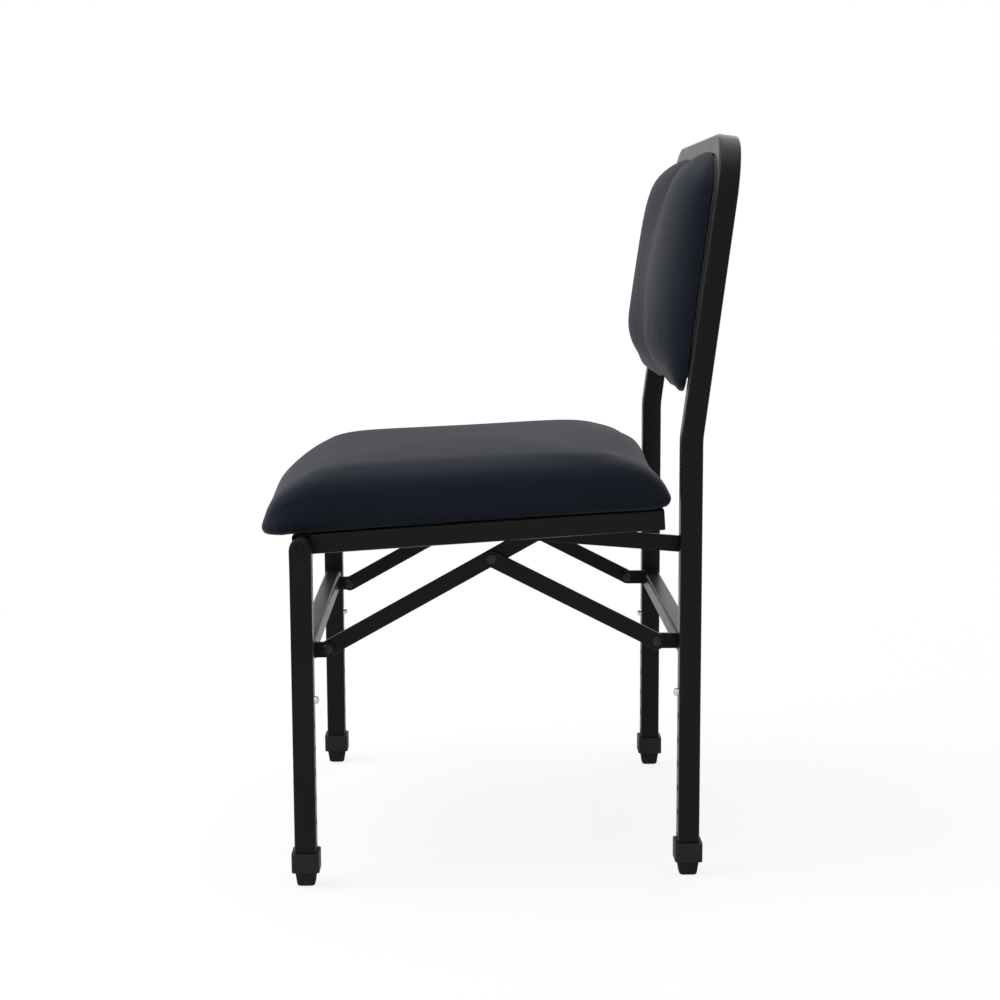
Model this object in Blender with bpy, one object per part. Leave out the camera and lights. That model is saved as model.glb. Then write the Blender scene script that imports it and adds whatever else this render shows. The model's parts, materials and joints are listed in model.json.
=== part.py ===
"""Folding musician chair: two tube frames that fold together under a hinged, padded seat.

Metres, +Z up. The sitter faces -Y and the sitter's left hand is at +X.
The origin is on the floor below the middle of the chair.
"""
import math

import bmesh
import bpy
from mathutils import Matrix, Vector

# Fits between pieces
FIT = 0.0003
PIN_FIT = 0.0003
NEST_GAP = 0.0006
WASHER_GAP = 0.0010
LAYER_GAP = 0.0005

# Tube sections
TUBE = 0.0222
TUBE_CORNER = 0.0030
TUBE_WALL = 0.0014
CROSS_TUBE = 0.0190
CROSS_CORNER = 0.0025
RAIL_HEIGHT = 0.0210

# Rear frame
REAR_TRACK = 0.4200
REAR_LEG_Y = 0.1931
FRAME_HEIGHT = 0.7600
RECLINE_START_Z = 0.4550
RECLINE = math.radians(7.5)
RECLINE_BEND_RADIUS = 0.100
TOP_BEND_RADIUS = 0.057

# Front frame
FRONT_LEG_Y = -0.2009
SEAT_PIVOT_Z = 0.3502
LEG_CROWN_DROP = 0.0015
SEAT_PIN_RADIUS = 0.0040
STRETCHER_Z = 0.2375

# Fold linkage
FRONT_BRACE_REACH = 0.0220
FRONT_BRACE_Z = 0.2360
REAR_BRACE_REACH = 0.0310
REAR_BRACE_Z = 0.2420
FRONT_BRACE_LENGTH = 0.1938
REAR_BRACE_LENGTH = 0.1928
BRACE_TAIL = 0.0560
HINGE_Z = 0.3441
HINGE_BAR_LENGTH = 0.2085
BAR_WIDTH = 0.0167
BAR_THICKNESS = 0.0040
BRACKET_HEIGHT = 0.0160
RIVET_RADIUS = 0.0030
RIVET_HEAD_RADIUS = 0.0055
RIVET_HEAD_HEIGHT = 0.0015

# Telescoping feet
BUTTON_Z = 0.1927
HOLE_PITCH = 0.0254
BUTTON_RADIUS = 0.0039
BUTTON_PROUD = 0.0050
BUTTON_FLANGE_RADIUS = 0.0055
BUTTON_FLANGE_HEIGHT = 0.0012
INNER_WALL = 0.0014
INNER_ABOVE_BUTTON = 0.0220
TIP_HEIGHT = 0.0150
TIP_FOOT_WIDTH = 0.0185
TIP_ROUND = 0.0022
TIP_PLUG_HEIGHT = 0.0120
COLLAR_WALL = 0.00315
COLLAR_HEIGHT = 0.0200
COLLAR_LIP = 0.0030
COLLAR_CORNER = 0.0030
SPRING_THICKNESS = 0.0008
SPRING_WIDTH = 0.0080
SPRING_LENGTH = 0.0200

# Seat
RAIL_REAR_GAP = 0.0162
REAR_RAIL_INSET = 0.0670
BOARD_THICKNESS = 0.0090
BOARD_SIDE_INSET = 0.0050
BOARD_REAR_INSET = 0.0110
BOARD_FRONT_REACH = 0.0250
CUSHION_SIDE_OVERHANG = 0.0043
CUSHION_FRONT_REACH = 0.0420
CUSHION_REAR_OVERHANG = 0.0050
CUSHION_CORNER = 0.0220
CUSHION_BOW = 0.0055
CUSHION_EDGE_FRONT = 0.0630
CUSHION_EDGE_REAR = 0.0570
CUSHION_SIDE_ROUND = 0.0500
CUSHION_END_ROUND = 0.0800
CUSHION_CROWN = 0.14
SEAT_SCREW_INSET = 0.0550

# Back
PAD_SIDE_GAP = 0.0039
PAD_BOTTOM_Z = 0.4925
PAD_TOP_DROP = 0.0160
PAD_DEPTH = 0.0400
PAD_TAPER = 0.10
PAD_LOBE_SHARE = 0.51
PAD_VALLEY = 0.38
PAD_EDGE = 0.0020
PAD_TOP_CORNER = 0.0350
PAD_BOTTOM_CORNER = 0.0450
PAD_TOP_ROUND = 0.0950
PAD_TOP_FALL = 3.0
PAD_BOTTOM_ROUND = 0.0680
PAD_BOTTOM_FALL = 2.0
PANEL_THICKNESS = 0.0082
PANEL_CORNER = 0.0500
PANEL_HEM = 0.0060
TAB_REACH = 0.0220
TAB_HEIGHT = 0.0260
TAB_THICKNESS = 0.0030
TAB_INSET = 0.0650
SCREW_RADIUS = 0.0020
SCREW_HEAD_RADIUS = 0.0042
SCREW_HEAD_HEIGHT = 0.0020
SCREW_BITE = 0.75

# Facets of round shapes
CORNER_STEPS = 2
BEND_STEPS = 3
TOP_BEND_STEPS = 6
ROUND_STEPS = 12
BAR_END_STEPS = 8
SOFT_CORNER_STEPS = 5
SOFT_SIDE_STEPS = 8

# Places worked out from the sizes above
BORE = TUBE - 2 * TUBE_WALL
INNER_LEG = BORE - 2 * FIT
REAR_X = REAR_TRACK / 2
FRONT_X = REAR_X + TUBE + NEST_GAP
REAR_INNER_X = REAR_X - TUBE / 2
FRONT_INNER_X = FRONT_X - TUBE / 2
COLLAR_WIDTH = TUBE + 2 * COLLAR_WALL
COLLAR_BOTTOM_Z = TIP_HEIGHT + FIT
COLLAR_TOP_Z = COLLAR_BOTTOM_Z + COLLAR_HEIGHT
LEG_END_Z = COLLAR_BOTTOM_Z + COLLAR_LIP + FIT
HOLE_RADIUS = BUTTON_RADIUS + PIN_FIT
HOLE_COUNT = 1 + int((BUTTON_Z - COLLAR_TOP_Z - HOLE_RADIUS) / HOLE_PITCH)
HINGE_LAYER = REAR_INNER_X - WASHER_GAP - BAR_THICKNESS
REAR_BRACE_LAYER = HINGE_LAYER - LAYER_GAP - BAR_THICKNESS
FRONT_BRACE_LAYER = REAR_BRACE_LAYER - LAYER_GAP - BAR_THICKNESS
TOP_REACH = (TUBE / 2 - TUBE_CORNER) * (math.cos(RECLINE) + math.sin(RECLINE)) + TUBE_CORNER
TOP_Z = FRAME_HEIGHT - TOP_REACH
TOP_Y = REAR_LEG_Y + (TOP_Z - RECLINE_START_Z) * math.tan(RECLINE)
BOARD_HALF_WIDTH = REAR_X - BOARD_SIDE_INSET
CUSHION_HALF_WIDTH = FRONT_INNER_X + CUSHION_SIDE_OVERHANG
SEAT_SCREW_X = BOARD_HALF_WIDTH - SEAT_SCREW_INSET
PAD_HALF_WIDTH = REAR_INNER_X - PAD_SIDE_GAP
PAD_LOBE_X = PAD_LOBE_SHARE * PAD_HALF_WIDTH
PAD_TOP_Z = FRAME_HEIGHT - PAD_TOP_DROP
SIDES = (("left", 1), ("right", -1))

# A mesh drawn in the side plane: first number along Y, second along Z, depth along X
SIDE_PLANE = Matrix(((0, 0, 1, 0), (1, 0, 0, 0), (0, 1, 0, 0), (0, 0, 0, 1)))
PLAN = Matrix.Identity(4)


def crossing(first, first_radius, second, second_radius):
    """The upper point at the given distances from two points of the side plane."""
    line = second - first
    along = (first_radius ** 2 - second_radius ** 2 + line.length_squared) / (2 * line.length)
    rise = math.sqrt(first_radius ** 2 - along ** 2)
    unit = line.normalized()
    return first + unit * along + Vector((-unit.y, unit.x)) * rise


# Pivots in the side plane, as (y, z)
FRONT_BRACE_PIVOT = Vector((FRONT_LEG_Y + FRONT_BRACE_REACH, FRONT_BRACE_Z))
REAR_BRACE_PIVOT = Vector((REAR_LEG_Y - REAR_BRACE_REACH, REAR_BRACE_Z))
KNUCKLE = crossing(FRONT_BRACE_PIVOT, FRONT_BRACE_LENGTH, REAR_BRACE_PIVOT, REAR_BRACE_LENGTH)
TAIL = KNUCKLE + (KNUCKLE - FRONT_BRACE_PIVOT).normalized() * BRACE_TAIL
HINGE = Vector((REAR_LEG_Y, HINGE_Z))
SEAT_LINK = HINGE + (TAIL - HINGE).normalized() * HINGE_BAR_LENGTH
SEAT_PIVOT = Vector((FRONT_LEG_Y, SEAT_PIVOT_Z))
SEAT_TILT = math.atan2(SEAT_LINK.y - SEAT_PIVOT.y, SEAT_LINK.x - SEAT_PIVOT.x)

# Seat frame: x across, y back along the rails, z square to the seat, origin on the front pivot
SEAT_FRAME = (Matrix.Translation((0, SEAT_PIVOT.x, SEAT_PIVOT.y)) @ Matrix.Rotation(SEAT_TILT, 4, "X"))
SEAT_SIDE = SEAT_FRAME @ SIDE_PLANE
RAIL_TOP = RAIL_HEIGHT / 2
RAIL_LENGTH = (REAR_LEG_Y - TUBE / 2 - RAIL_REAR_GAP - SEAT_PIVOT.x) / math.cos(SEAT_TILT)
REAR_RAIL_S = RAIL_LENGTH - REAR_RAIL_INSET
BOARD_REAR_S = RAIL_LENGTH - BOARD_REAR_INSET
CUSHION_REAR_S = RAIL_LENGTH + CUSHION_REAR_OVERHANG
BOARD_BOTTOM = RAIL_TOP + FIT
BOARD_TOP = BOARD_BOTTOM + BOARD_THICKNESS


def frame_front_y(z):
    """The front of the back tube at a height on its reclined stretch."""
    run = (z - RECLINE_START_Z) * math.tan(RECLINE)
    return REAR_LEG_Y + run - TUBE / 2 / math.cos(RECLINE)


# Frame of the back: x across, y up along its front plane, z forwards
PAD_HEIGHT = (PAD_TOP_Z - PAD_BOTTOM_Z) / math.cos(RECLINE)
BACK_FRAME = (Matrix.Translation((0, frame_front_y(PAD_BOTTOM_Z), PAD_BOTTOM_Z))
              @ Matrix.Rotation(math.pi / 2 - RECLINE, 4, "X"))


def clear_scene():
    for item in list(bpy.data.objects):
        bpy.data.objects.remove(item, do_unlink=True)


def material(name, colour, roughness, metallic):
    made = bpy.data.materials.new(name)
    made.use_nodes = True
    shader = made.node_tree.nodes["Principled BSDF"]
    shader.inputs["Base Color"].default_value = (*colour, 1)
    shader.inputs["Roughness"].default_value = roughness
    shader.inputs["Metallic"].default_value = metallic
    return made


def black_paint():
    return material("black_paint", (0.018, 0.018, 0.019), 0.38, 0.0)


def navy_fabric():
    return material("navy_fabric", (0.016, 0.017, 0.026), 0.92, 0.0)


def black_plastic():
    return material("black_plastic", (0.022, 0.024, 0.023), 0.6, 0.0)


def black_rubber():
    return material("black_rubber", (0.020, 0.021, 0.020), 0.8, 0.0)


def bright_steel():
    return material("bright_steel", (0.62, 0.62, 0.60), 0.25, 1.0)


def dark_board():
    return material("dark_board", (0.030, 0.026, 0.022), 0.85, 0.0)


def pivot(name, place):
    """An empty on a joint's axis, given in the side plane or in space."""
    empty = bpy.data.objects.new(name, None)
    empty.location = (0, *place) if len(place) == 2 else place
    bpy.context.collection.objects.link(empty)
    bpy.context.view_layer.update()
    return empty


def finish(name, mesh, finish_material, carrier=None):
    """Turn a bmesh into a named object, carried by the empty on its joint."""
    bmesh.ops.recalc_face_normals(mesh, faces=mesh.faces)
    data = bpy.data.meshes.new(name)
    mesh.to_mesh(data)
    mesh.free()
    data.shade_smooth()
    data.set_sharp_from_angle(angle=math.radians(35))
    data.materials.append(finish_material)
    item = bpy.data.objects.new(name, data)
    bpy.context.collection.objects.link(item)
    if carrier:
        item.parent = carrier
        item.matrix_parent_inverse = carrier.matrix_world.inverted()
    return item


def combine(item, tool_mesh, operation):
    """Work a tool's shape into an object for good."""
    bmesh.ops.recalc_face_normals(tool_mesh, faces=tool_mesh.faces)
    data = bpy.data.meshes.new("tool")
    tool_mesh.to_mesh(data)
    tool_mesh.free()
    tool = bpy.data.objects.new("tool", data)
    bpy.context.collection.objects.link(tool)
    boolean = item.modifiers.new(operation, "BOOLEAN")
    boolean.operation = operation
    boolean.solver = "EXACT"
    boolean.object = tool
    bpy.context.view_layer.update()
    shaped = item.evaluated_get(bpy.context.evaluated_depsgraph_get())
    result = bpy.data.meshes.new_from_object(shaped)
    item.modifiers.clear()
    item.data = result
    bpy.data.objects.remove(tool, do_unlink=True)


def cut(item, mesh):
    combine(item, mesh, "DIFFERENCE")


def weld(item, mesh):
    combine(item, mesh, "UNION")


def rounded_square(width, height, radius):
    """Corner points of a square section, anticlockwise from the lower right corner."""
    points = []
    for turn, (right, up) in enumerate(((1, -1), (1, 1), (-1, 1), (-1, -1))):
        centre = Vector((right * (width / 2 - radius), up * (height / 2 - radius)))
        for step in range(CORNER_STEPS + 1):
            angle = math.radians(-90 + 90 * turn + 90 * step / CORNER_STEPS)
            points.append(centre + radius * Vector((math.cos(angle), math.sin(angle))))
    return points


def stadium(start, end, radius):
    """Outline of a flat bar with round ends."""
    heading = math.atan2(end.y - start.y, end.x - start.x)
    points = []
    for centre, first in ((end, heading - math.pi / 2), (start, heading + math.pi / 2)):
        for step in range(BAR_END_STEPS + 1):
            angle = first + math.pi * step / BAR_END_STEPS
            points.append(centre + radius * Vector((math.cos(angle), math.sin(angle))))
    return points


def circle(centre, radius):
    return [centre + radius * Vector((math.cos(turn), math.sin(turn)))
            for turn in (2 * math.pi * step / ROUND_STEPS for step in range(ROUND_STEPS))]


def skin(mesh, rings):
    """Join neighbouring rings of equal length with faces."""
    for lower, upper in zip(rings, rings[1:]):
        for step in range(len(lower)):
            after = (step + 1) % len(lower)
            mesh.faces.new((lower[step], lower[after], upper[after], upper[step]))


def add_ring(mesh, points):
    return [mesh.verts.new(point) for point in points]


def solid_of_rings(rings):
    """A closed solid through a stack of rings, capped at both ends."""
    mesh = bmesh.new()
    made = [add_ring(mesh, ring) for ring in rings]
    skin(mesh, made)
    mesh.faces.new(list(reversed(made[0])))
    mesh.faces.new(made[-1])
    return mesh


def tube_of_rings(outer, inner):
    """A closed tube through two stacks of rings, open along its bore."""
    mesh = bmesh.new()
    outside = [add_ring(mesh, ring) for ring in outer]
    inside = [add_ring(mesh, ring) for ring in inner]
    skin(mesh, outside)
    skin(mesh, inside)
    skin(mesh, [outside[0], inside[0]])
    skin(mesh, [outside[-1], inside[-1]])
    return mesh


def level(outline, depth, plane):
    return [plane @ Vector((point.x, point.y, depth)) for point in outline]


def prism(outline, low, high, plane=PLAN):
    return solid_of_rings([level(outline, low, plane), level(outline, high, plane)])


def straight_tube(outer, inner, low, high, plane):
    return tube_of_rings([level(outer, low, plane), level(outer, high, plane)],
                         [level(inner, low, plane), level(inner, high, plane)])


def turned(profile, centre, axis):
    """A turned solid from (radius, height) points along an axis."""
    turn = Vector(axis).to_track_quat("Z", "Y").to_matrix().to_4x4()
    place = Matrix.Translation(centre) @ turn
    rings = [level(circle(Vector((0, 0)), radius), height, place) for radius, height in profile]
    return solid_of_rings(rings)


def drill(item, centre, axis, radius, low, high):
    cut(item, turned([(radius, low), (radius, high)], centre, axis))


def shifted(outline, place):
    return [point + Vector(place) for point in outline]


def filleted(points, radii, steps):
    """A path through points whose corners are arcs of the given radii."""
    path = [points[0]]
    for before, corner, after, radius, count in zip(points, points[1:], points[2:], radii, steps):
        back = (before - corner).normalized()
        ahead = (after - corner).normalized()
        half = back.angle(ahead) / 2
        centre = corner + (back + ahead).normalized() * (radius / math.sin(half))
        start = corner + back * (radius / math.tan(half)) - centre
        end = corner + ahead * (radius / math.tan(half)) - centre
        swing = start.angle(end)
        for step in range(count + 1):
            share = step / count
            near = math.sin((1 - share) * swing) / math.sin(swing)
            far = math.sin(share * swing) / math.sin(swing)
            path.append(centre + start * near + end * far)
    path.append(points[-1])
    return path


def swept(path, outline):
    """Rings of an outline along a path, its first axis outwards and its second to the front."""
    rings = []
    front = Vector((0, -1, 0))
    for index, place in enumerate(path):
        before = path[max(index - 1, 0)]
        after = path[min(index + 1, len(path) - 1)]
        heading = ((after - place).normalized() + (place - before).normalized()).normalized()
        front = (front - heading * heading.dot(front)).normalized()
        out = heading.cross(front)
        rings.append([place + out * point.x + front * point.y for point in outline])
    return rings


def back_tube_path():
    side = [(REAR_LEG_Y, LEG_END_Z), (REAR_LEG_Y, RECLINE_START_Z), (TOP_Y, TOP_Z)]
    points = [Vector((REAR_X, *place)) for place in side]
    points += [Vector((-REAR_X, *place)) for place in reversed(side)]
    bends = [RECLINE_BEND_RADIUS, TOP_BEND_RADIUS, TOP_BEND_RADIUS, RECLINE_BEND_RADIUS]
    steps = [BEND_STEPS, TOP_BEND_STEPS, TOP_BEND_STEPS, BEND_STEPS]
    return filleted(points, bends, steps)


def leg_section():
    return rounded_square(TUBE, TUBE, TUBE_CORNER)


def bore_section(size):
    return rounded_square(size, size, max(TUBE_CORNER - TUBE_WALL, TUBE_WALL / 2))


def drill_button_holes(leg, x, face_y, inward):
    """The row of holes down the side of a leg that faces the middle of the chair."""
    for index in range(HOLE_COUNT):
        place = (x, face_y, BUTTON_Z - index * HOLE_PITCH)
        drill(leg, place, (0, inward, 0), HOLE_RADIUS, -2 * TUBE_WALL, TUBE_WALL)


def build_back_frame(paint):
    path = back_tube_path()
    tube = tube_of_rings(swept(path, leg_section()), swept(path, bore_section(BORE)))
    frame = finish("back_frame", tube, paint)
    for _, side in SIDES:
        weld_stud(frame, HINGE, side)
        drill_button_holes(frame, side * REAR_X, REAR_LEG_Y - TUBE / 2, -1)
    return frame


def build_stretcher(name, y, half_length, paint, carrier=None):
    """A cross tube between two legs, with open ends against their sides."""
    plane = Matrix(((0, 0, 1, 0), (1, 0, 0, y), (0, 1, 0, STRETCHER_Z), (0, 0, 0, 1)))
    outer = rounded_square(CROSS_TUBE, CROSS_TUBE, CROSS_CORNER)
    bore = CROSS_TUBE - 2 * TUBE_WALL
    inner = rounded_square(bore, bore, max(CROSS_CORNER - TUBE_WALL, TUBE_WALL / 2))
    finish(name, straight_tube(outer, inner, -half_length, half_length, plane), paint, carrier)


def bracket_outline(face_y, place):
    """A tab from a stretcher's face to a round end about a brace's pivot."""
    radius = BRACKET_HEIGHT / 2
    toward = math.copysign(1, place.x - face_y)
    arc = [place + radius * Vector((toward * math.cos(turn), math.sin(turn)))
           for turn in (math.pi * (step / BAR_END_STEPS - 0.5) for step in range(BAR_END_STEPS + 1))]
    return arc + [Vector((face_y, place.y + radius)), Vector((face_y, place.y - radius))]


def build_bracket(name, face_y, place, layer, side, paint, carrier=None):
    outline = bracket_outline(face_y, place)
    plate = prism(outline, side * layer, side * (layer + BAR_THICKNESS), SIDE_PLANE)
    tab = finish(name, plate, paint, carrier)
    drill_rivet_hole(tab, place, layer, side)


def drill_rivet_hole(item, place, layer, side):
    """A hole along X through a flat piece on one side of the chair."""
    centre = (side * layer, *place)
    drill(item, centre, (side, 0, 0), RIVET_RADIUS + PIN_FIT, -BAR_THICKNESS, 2 * BAR_THICKNESS)


def build_bar(name, start, end, holes, layer, side, paint, carrier):
    outline = stadium(start, end, BAR_WIDTH / 2)
    plate = prism(outline, side * layer, side * (layer + BAR_THICKNESS), SIDE_PLANE)
    bar = finish(name, plate, paint, carrier)
    for place in holes:
        drill_rivet_hole(bar, place, layer, side)


def rivet_head():
    """A domed head below height 0, ending at the shank."""
    return [(RIVET_HEAD_RADIUS * 0.55, -RIVET_HEAD_HEIGHT - FIT),
            (RIVET_HEAD_RADIUS * 0.90, -RIVET_HEAD_HEIGHT * 0.6 - FIT),
            (RIVET_HEAD_RADIUS, -FIT), (RIVET_RADIUS, -FIT)]


def rivet_profile(length):
    """A domed head, a shank as long as the pieces it joins, and a second domed head."""
    return rivet_head() + [(radius, length - height) for radius, height in reversed(rivet_head())]


def stud_profile():
    """A stud welded in a tube's wall: a thin flange, a shank through the bar and a domed head."""
    flange = WASHER_GAP - FIT
    head = WASHER_GAP + BAR_THICKNESS
    return [(RIVET_HEAD_RADIUS, -TUBE_WALL / 2), (RIVET_HEAD_RADIUS, flange), (RIVET_RADIUS, flange)] + [
        (radius, head - height) for radius, height in reversed(rivet_head())]


def weld_stud(item, place, side):
    """A stud on the inner side of a tube, pointing to the middle of the chair."""
    weld(item, turned(stud_profile(), (side * REAR_INNER_X, *place), (-side, 0, 0)))


def tail_profile():
    """A rivet in the front brace with a spacer that stops short of the hinge bar."""
    spacer_end = 2 * (BAR_THICKNESS + LAYER_GAP) - FIT
    spacer = BAR_THICKNESS + FIT
    collar = [(RIVET_RADIUS, spacer), (RIVET_HEAD_RADIUS, spacer), (RIVET_HEAD_RADIUS, spacer_end)]
    return rivet_head() + collar


def build_fastener_pair(name, profile, place, x, steel, carrier=None):
    """The same turned fastener on both sides of the chair."""
    for label, side in SIDES:
        finish(name + label, turned(profile, (side * x, *place), (side, 0, 0)), steel, carrier)


def build_braces(paint, carriers):
    for label, side in SIDES:
        build_bar("front_brace_" + label, FRONT_BRACE_PIVOT, TAIL, (FRONT_BRACE_PIVOT, KNUCKLE, TAIL),
                  FRONT_BRACE_LAYER, side, paint, carriers["front_brace"])
        build_bar("rear_brace_" + label, REAR_BRACE_PIVOT, KNUCKLE, (REAR_BRACE_PIVOT, KNUCKLE),
                  REAR_BRACE_LAYER, side, paint, carriers["rear_brace"])
        build_bar("hinge_bar_" + label, HINGE, SEAT_LINK, (HINGE, SEAT_LINK),
                  HINGE_LAYER, side, paint, carriers["hinge_bar"])


def build_brackets(paint, carriers):
    rear_face = REAR_LEG_Y - CROSS_TUBE / 2 - FIT
    front_face = FRONT_LEG_Y + CROSS_TUBE / 2 + FIT
    for label, side in SIDES:
        build_bracket("rear_bracket_" + label, rear_face, REAR_BRACE_PIVOT, FRONT_BRACE_LAYER, side, paint)
        build_bracket("front_bracket_" + label, front_face, FRONT_BRACE_PIVOT, REAR_BRACE_LAYER, side, paint,
                      carriers["front_frame"])


def build_pivots(steel, carriers):
    both_bars = 2 * BAR_THICKNESS + LAYER_GAP
    rivet = rivet_profile(both_bars)
    inner = FRONT_BRACE_LAYER
    build_fastener_pair("rear_brace_rivet_", rivet, REAR_BRACE_PIVOT, inner, steel)
    build_fastener_pair("front_brace_rivet_", rivet, FRONT_BRACE_PIVOT, inner, steel, carriers["front_frame"])
    build_fastener_pair("knuckle_rivet_", rivet, KNUCKLE, inner, steel, carriers["rear_brace"])
    build_fastener_pair("brace_tail_rivet_", tail_profile(), TAIL, inner, steel, carriers["front_brace"])
    pin = [(SEAT_PIN_RADIUS, -FIT), (SEAT_PIN_RADIUS, TUBE - FIT)]
    build_fastener_pair("seat_pivot_pin_", pin, SEAT_PIVOT, FRONT_INNER_X, steel, carriers["front_frame"])


def build_front_legs(paint, carrier):
    """Square tubes with a closed round crown about the seat's pivot."""
    crown_z = SEAT_PIVOT_Z - LEG_CROWN_DROP
    crown = [Vector((FRONT_LEG_Y, crown_z)) + TUBE / 2 * Vector((math.cos(turn), math.sin(turn)))
             for turn in (math.pi * step / ROUND_STEPS for step in range(ROUND_STEPS + 1))]
    foot = [Vector((FRONT_LEG_Y - TUBE / 2, LEG_END_Z)), Vector((FRONT_LEG_Y + TUBE / 2, LEG_END_Z))]
    outline = crown + foot
    bore_top = crown_z - TUBE / 2
    for label, side in SIDES:
        mesh = prism(outline, side * FRONT_INNER_X, side * (FRONT_INNER_X + TUBE), SIDE_PLANE)
        edges = [edge for edge in mesh.edges if abs(edge.verts[0].co.x - edge.verts[1].co.x) < FIT]
        upright = [edge for edge in edges if min(v.co.z for v in edge.verts) > LEG_END_Z - FIT
                   and max(v.co.z for v in edge.verts) > LEG_END_Z + FIT]
        bmesh.ops.bevel(mesh, geom=upright, offset=TUBE_CORNER, segments=CORNER_STEPS, profile=0.5,
                        affect="EDGES")
        leg = finish("front_leg_" + label, mesh, paint, carrier)
        hollow = shifted(bore_section(BORE), (side * FRONT_X, FRONT_LEG_Y))
        cut(leg, prism(hollow, LEG_END_Z - TUBE, bore_top))
        drill_button_holes(leg, side * FRONT_X, FRONT_LEG_Y + TUBE / 2, 1)
        drill(leg, (side * FRONT_X, *SEAT_PIVOT), (1, 0, 0), SEAT_PIN_RADIUS + PIN_FIT, -TUBE, TUBE)


def build_collar(name, x, y, plastic, carrier=None):
    """A square sleeve on a leg's end with a lip that guides the inner leg."""
    outer = shifted(rounded_square(COLLAR_WIDTH, COLLAR_WIDTH, COLLAR_CORNER), (x, y))
    sleeve = TUBE + 2 * FIT
    inner = shifted(rounded_square(sleeve, sleeve, TUBE_CORNER), (x, y))
    lip = shifted(bore_section(BORE), (x, y))
    top = COLLAR_TOP_Z
    edge = COLLAR_BOTTOM_Z + COLLAR_LIP
    mesh = tube_of_rings([level(outer, COLLAR_BOTTOM_Z, PLAN), level(outer, top, PLAN)],
                         [level(lip, COLLAR_BOTTOM_Z, PLAN), level(lip, edge, PLAN), level(inner, edge, PLAN),
                          level(inner, top, PLAN)])
    finish(name, mesh, plastic, carrier)


def build_inner_leg(name, x, y, inward, steel, carrier):
    outer = shifted(bore_section(INNER_LEG), (x, y))
    bore = INNER_LEG - 2 * INNER_WALL
    inner = shifted(rounded_square(bore, bore, INNER_WALL / 2), (x, y))
    mesh = straight_tube(outer, inner, TIP_HEIGHT + FIT, BUTTON_Z + INNER_ABOVE_BUTTON, PLAN)
    leg = finish("inner_leg_" + name, mesh, steel, carrier)
    face = y + inward * INNER_LEG / 2
    drill(leg, (x, face, BUTTON_Z), (0, inward, 0), HOLE_RADIUS, -2 * INNER_WALL, INNER_WALL)


def build_tip(name, x, y, rubber, carrier):
    """A tapered foot with a rounded sole and a plug inside the inner leg."""
    plug = INNER_LEG - 2 * INNER_WALL - 2 * FIT
    widths = [(TIP_FOOT_WIDTH - 2 * TIP_ROUND, 0), (TIP_FOOT_WIDTH - 0.6 * TIP_ROUND, 0.3 * TIP_ROUND),
              (TIP_FOOT_WIDTH, TIP_ROUND), (TUBE, TIP_HEIGHT), (plug, TIP_HEIGHT),
              (plug, TIP_HEIGHT + TIP_PLUG_HEIGHT)]
    rings = [level(shifted(rounded_square(width, width, width / 6), (x, y)), z, PLAN) for width, z in widths]
    finish("rubber_tip_" + name, solid_of_rings(rings), rubber, carrier)


def build_button(name, x, y, inward, steel, carrier):
    """A domed button on a flange that bears on the inside of the inner leg's wall."""
    wall_inside = y + inward * (INNER_LEG / 2 - INNER_WALL - FIT)
    reach = INNER_WALL + FIT + FIT + TUBE_WALL + BUTTON_PROUD
    profile = [(BUTTON_FLANGE_RADIUS, -BUTTON_FLANGE_HEIGHT), (BUTTON_FLANGE_RADIUS, 0), (BUTTON_RADIUS, 0),
               (BUTTON_RADIUS, reach - 0.6 * BUTTON_RADIUS)]
    profile += [(0.86 * BUTTON_RADIUS, reach - 0.25 * BUTTON_RADIUS), (0.5 * BUTTON_RADIUS, reach)]
    mesh = turned(profile, (x, wall_inside, BUTTON_Z), (0, inward, 0))
    finish("snap_button_" + name, mesh, steel, carrier)


def build_spring(name, x, y, inward, steel, carrier):
    """A bent strip between the button's flange and the opposite wall of the inner leg."""
    half = INNER_LEG / 2 - INNER_WALL
    front = half - 2 * FIT - BUTTON_FLANGE_HEIGHT - SPRING_THICKNESS / 2
    rear = -half + FIT + SPRING_THICKNESS / 2
    radius = (front - rear) / 2
    foot = BUTTON_Z - BUTTON_FLANGE_RADIUS
    bend_z = foot + SPRING_LENGTH - radius
    middle = (front + rear) / 2
    path = [Vector((front, foot))]
    path += [Vector((middle + radius * math.cos(turn), bend_z + radius * math.sin(turn)))
             for turn in (math.pi * step / BAR_END_STEPS for step in range(BAR_END_STEPS + 1))]
    path.append(Vector((rear, foot)))
    outline = strip_outline(path, SPRING_THICKNESS)
    placed = [Vector((y + inward * point.x, point.y)) for point in outline]
    mesh = prism(placed, x - SPRING_WIDTH / 2, x + SPRING_WIDTH / 2, SIDE_PLANE)
    finish("button_spring_" + name, mesh, steel, carrier)


def strip_outline(path, thickness):
    """Both edges of a strip that follows a path."""
    left = []
    right = []
    for index, place in enumerate(path):
        before = path[max(index - 1, 0)]
        after = path[min(index + 1, len(path) - 1)]
        along = (after - before).normalized()
        across = Vector((-along.y, along.x)) * (thickness / 2)
        left.append(place + across)
        right.append(place - across)
    return left + list(reversed(right))


def build_feet(finishes, front_carrier):
    """Collar, inner leg, tip, button and spring of each of the four legs."""
    rows = (("rear", REAR_X, REAR_LEG_Y, -1, None), ("front", FRONT_X, FRONT_LEG_Y, 1, front_carrier))
    for row, half_track, y, inward, frame in rows:
        for label, side in SIDES:
            name = row + "_" + label
            x = side * half_track
            build_collar(row + "_collar_" + label, x, y, finishes["plastic"], frame)
            leg = pivot("axis_inner_leg_" + name, (x, y, BUTTON_Z))
            button = pivot("axis_button_" + name, (x, y + inward * TUBE / 2, BUTTON_Z))
            build_inner_leg(name, x, y, inward, finishes["paint"], leg)
            build_tip(name, x, y, finishes["rubber"], leg)
            build_spring(name, x, y, inward, finishes["steel"], leg)
            build_button(name, x, y, inward, finishes["steel"], button)


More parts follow.
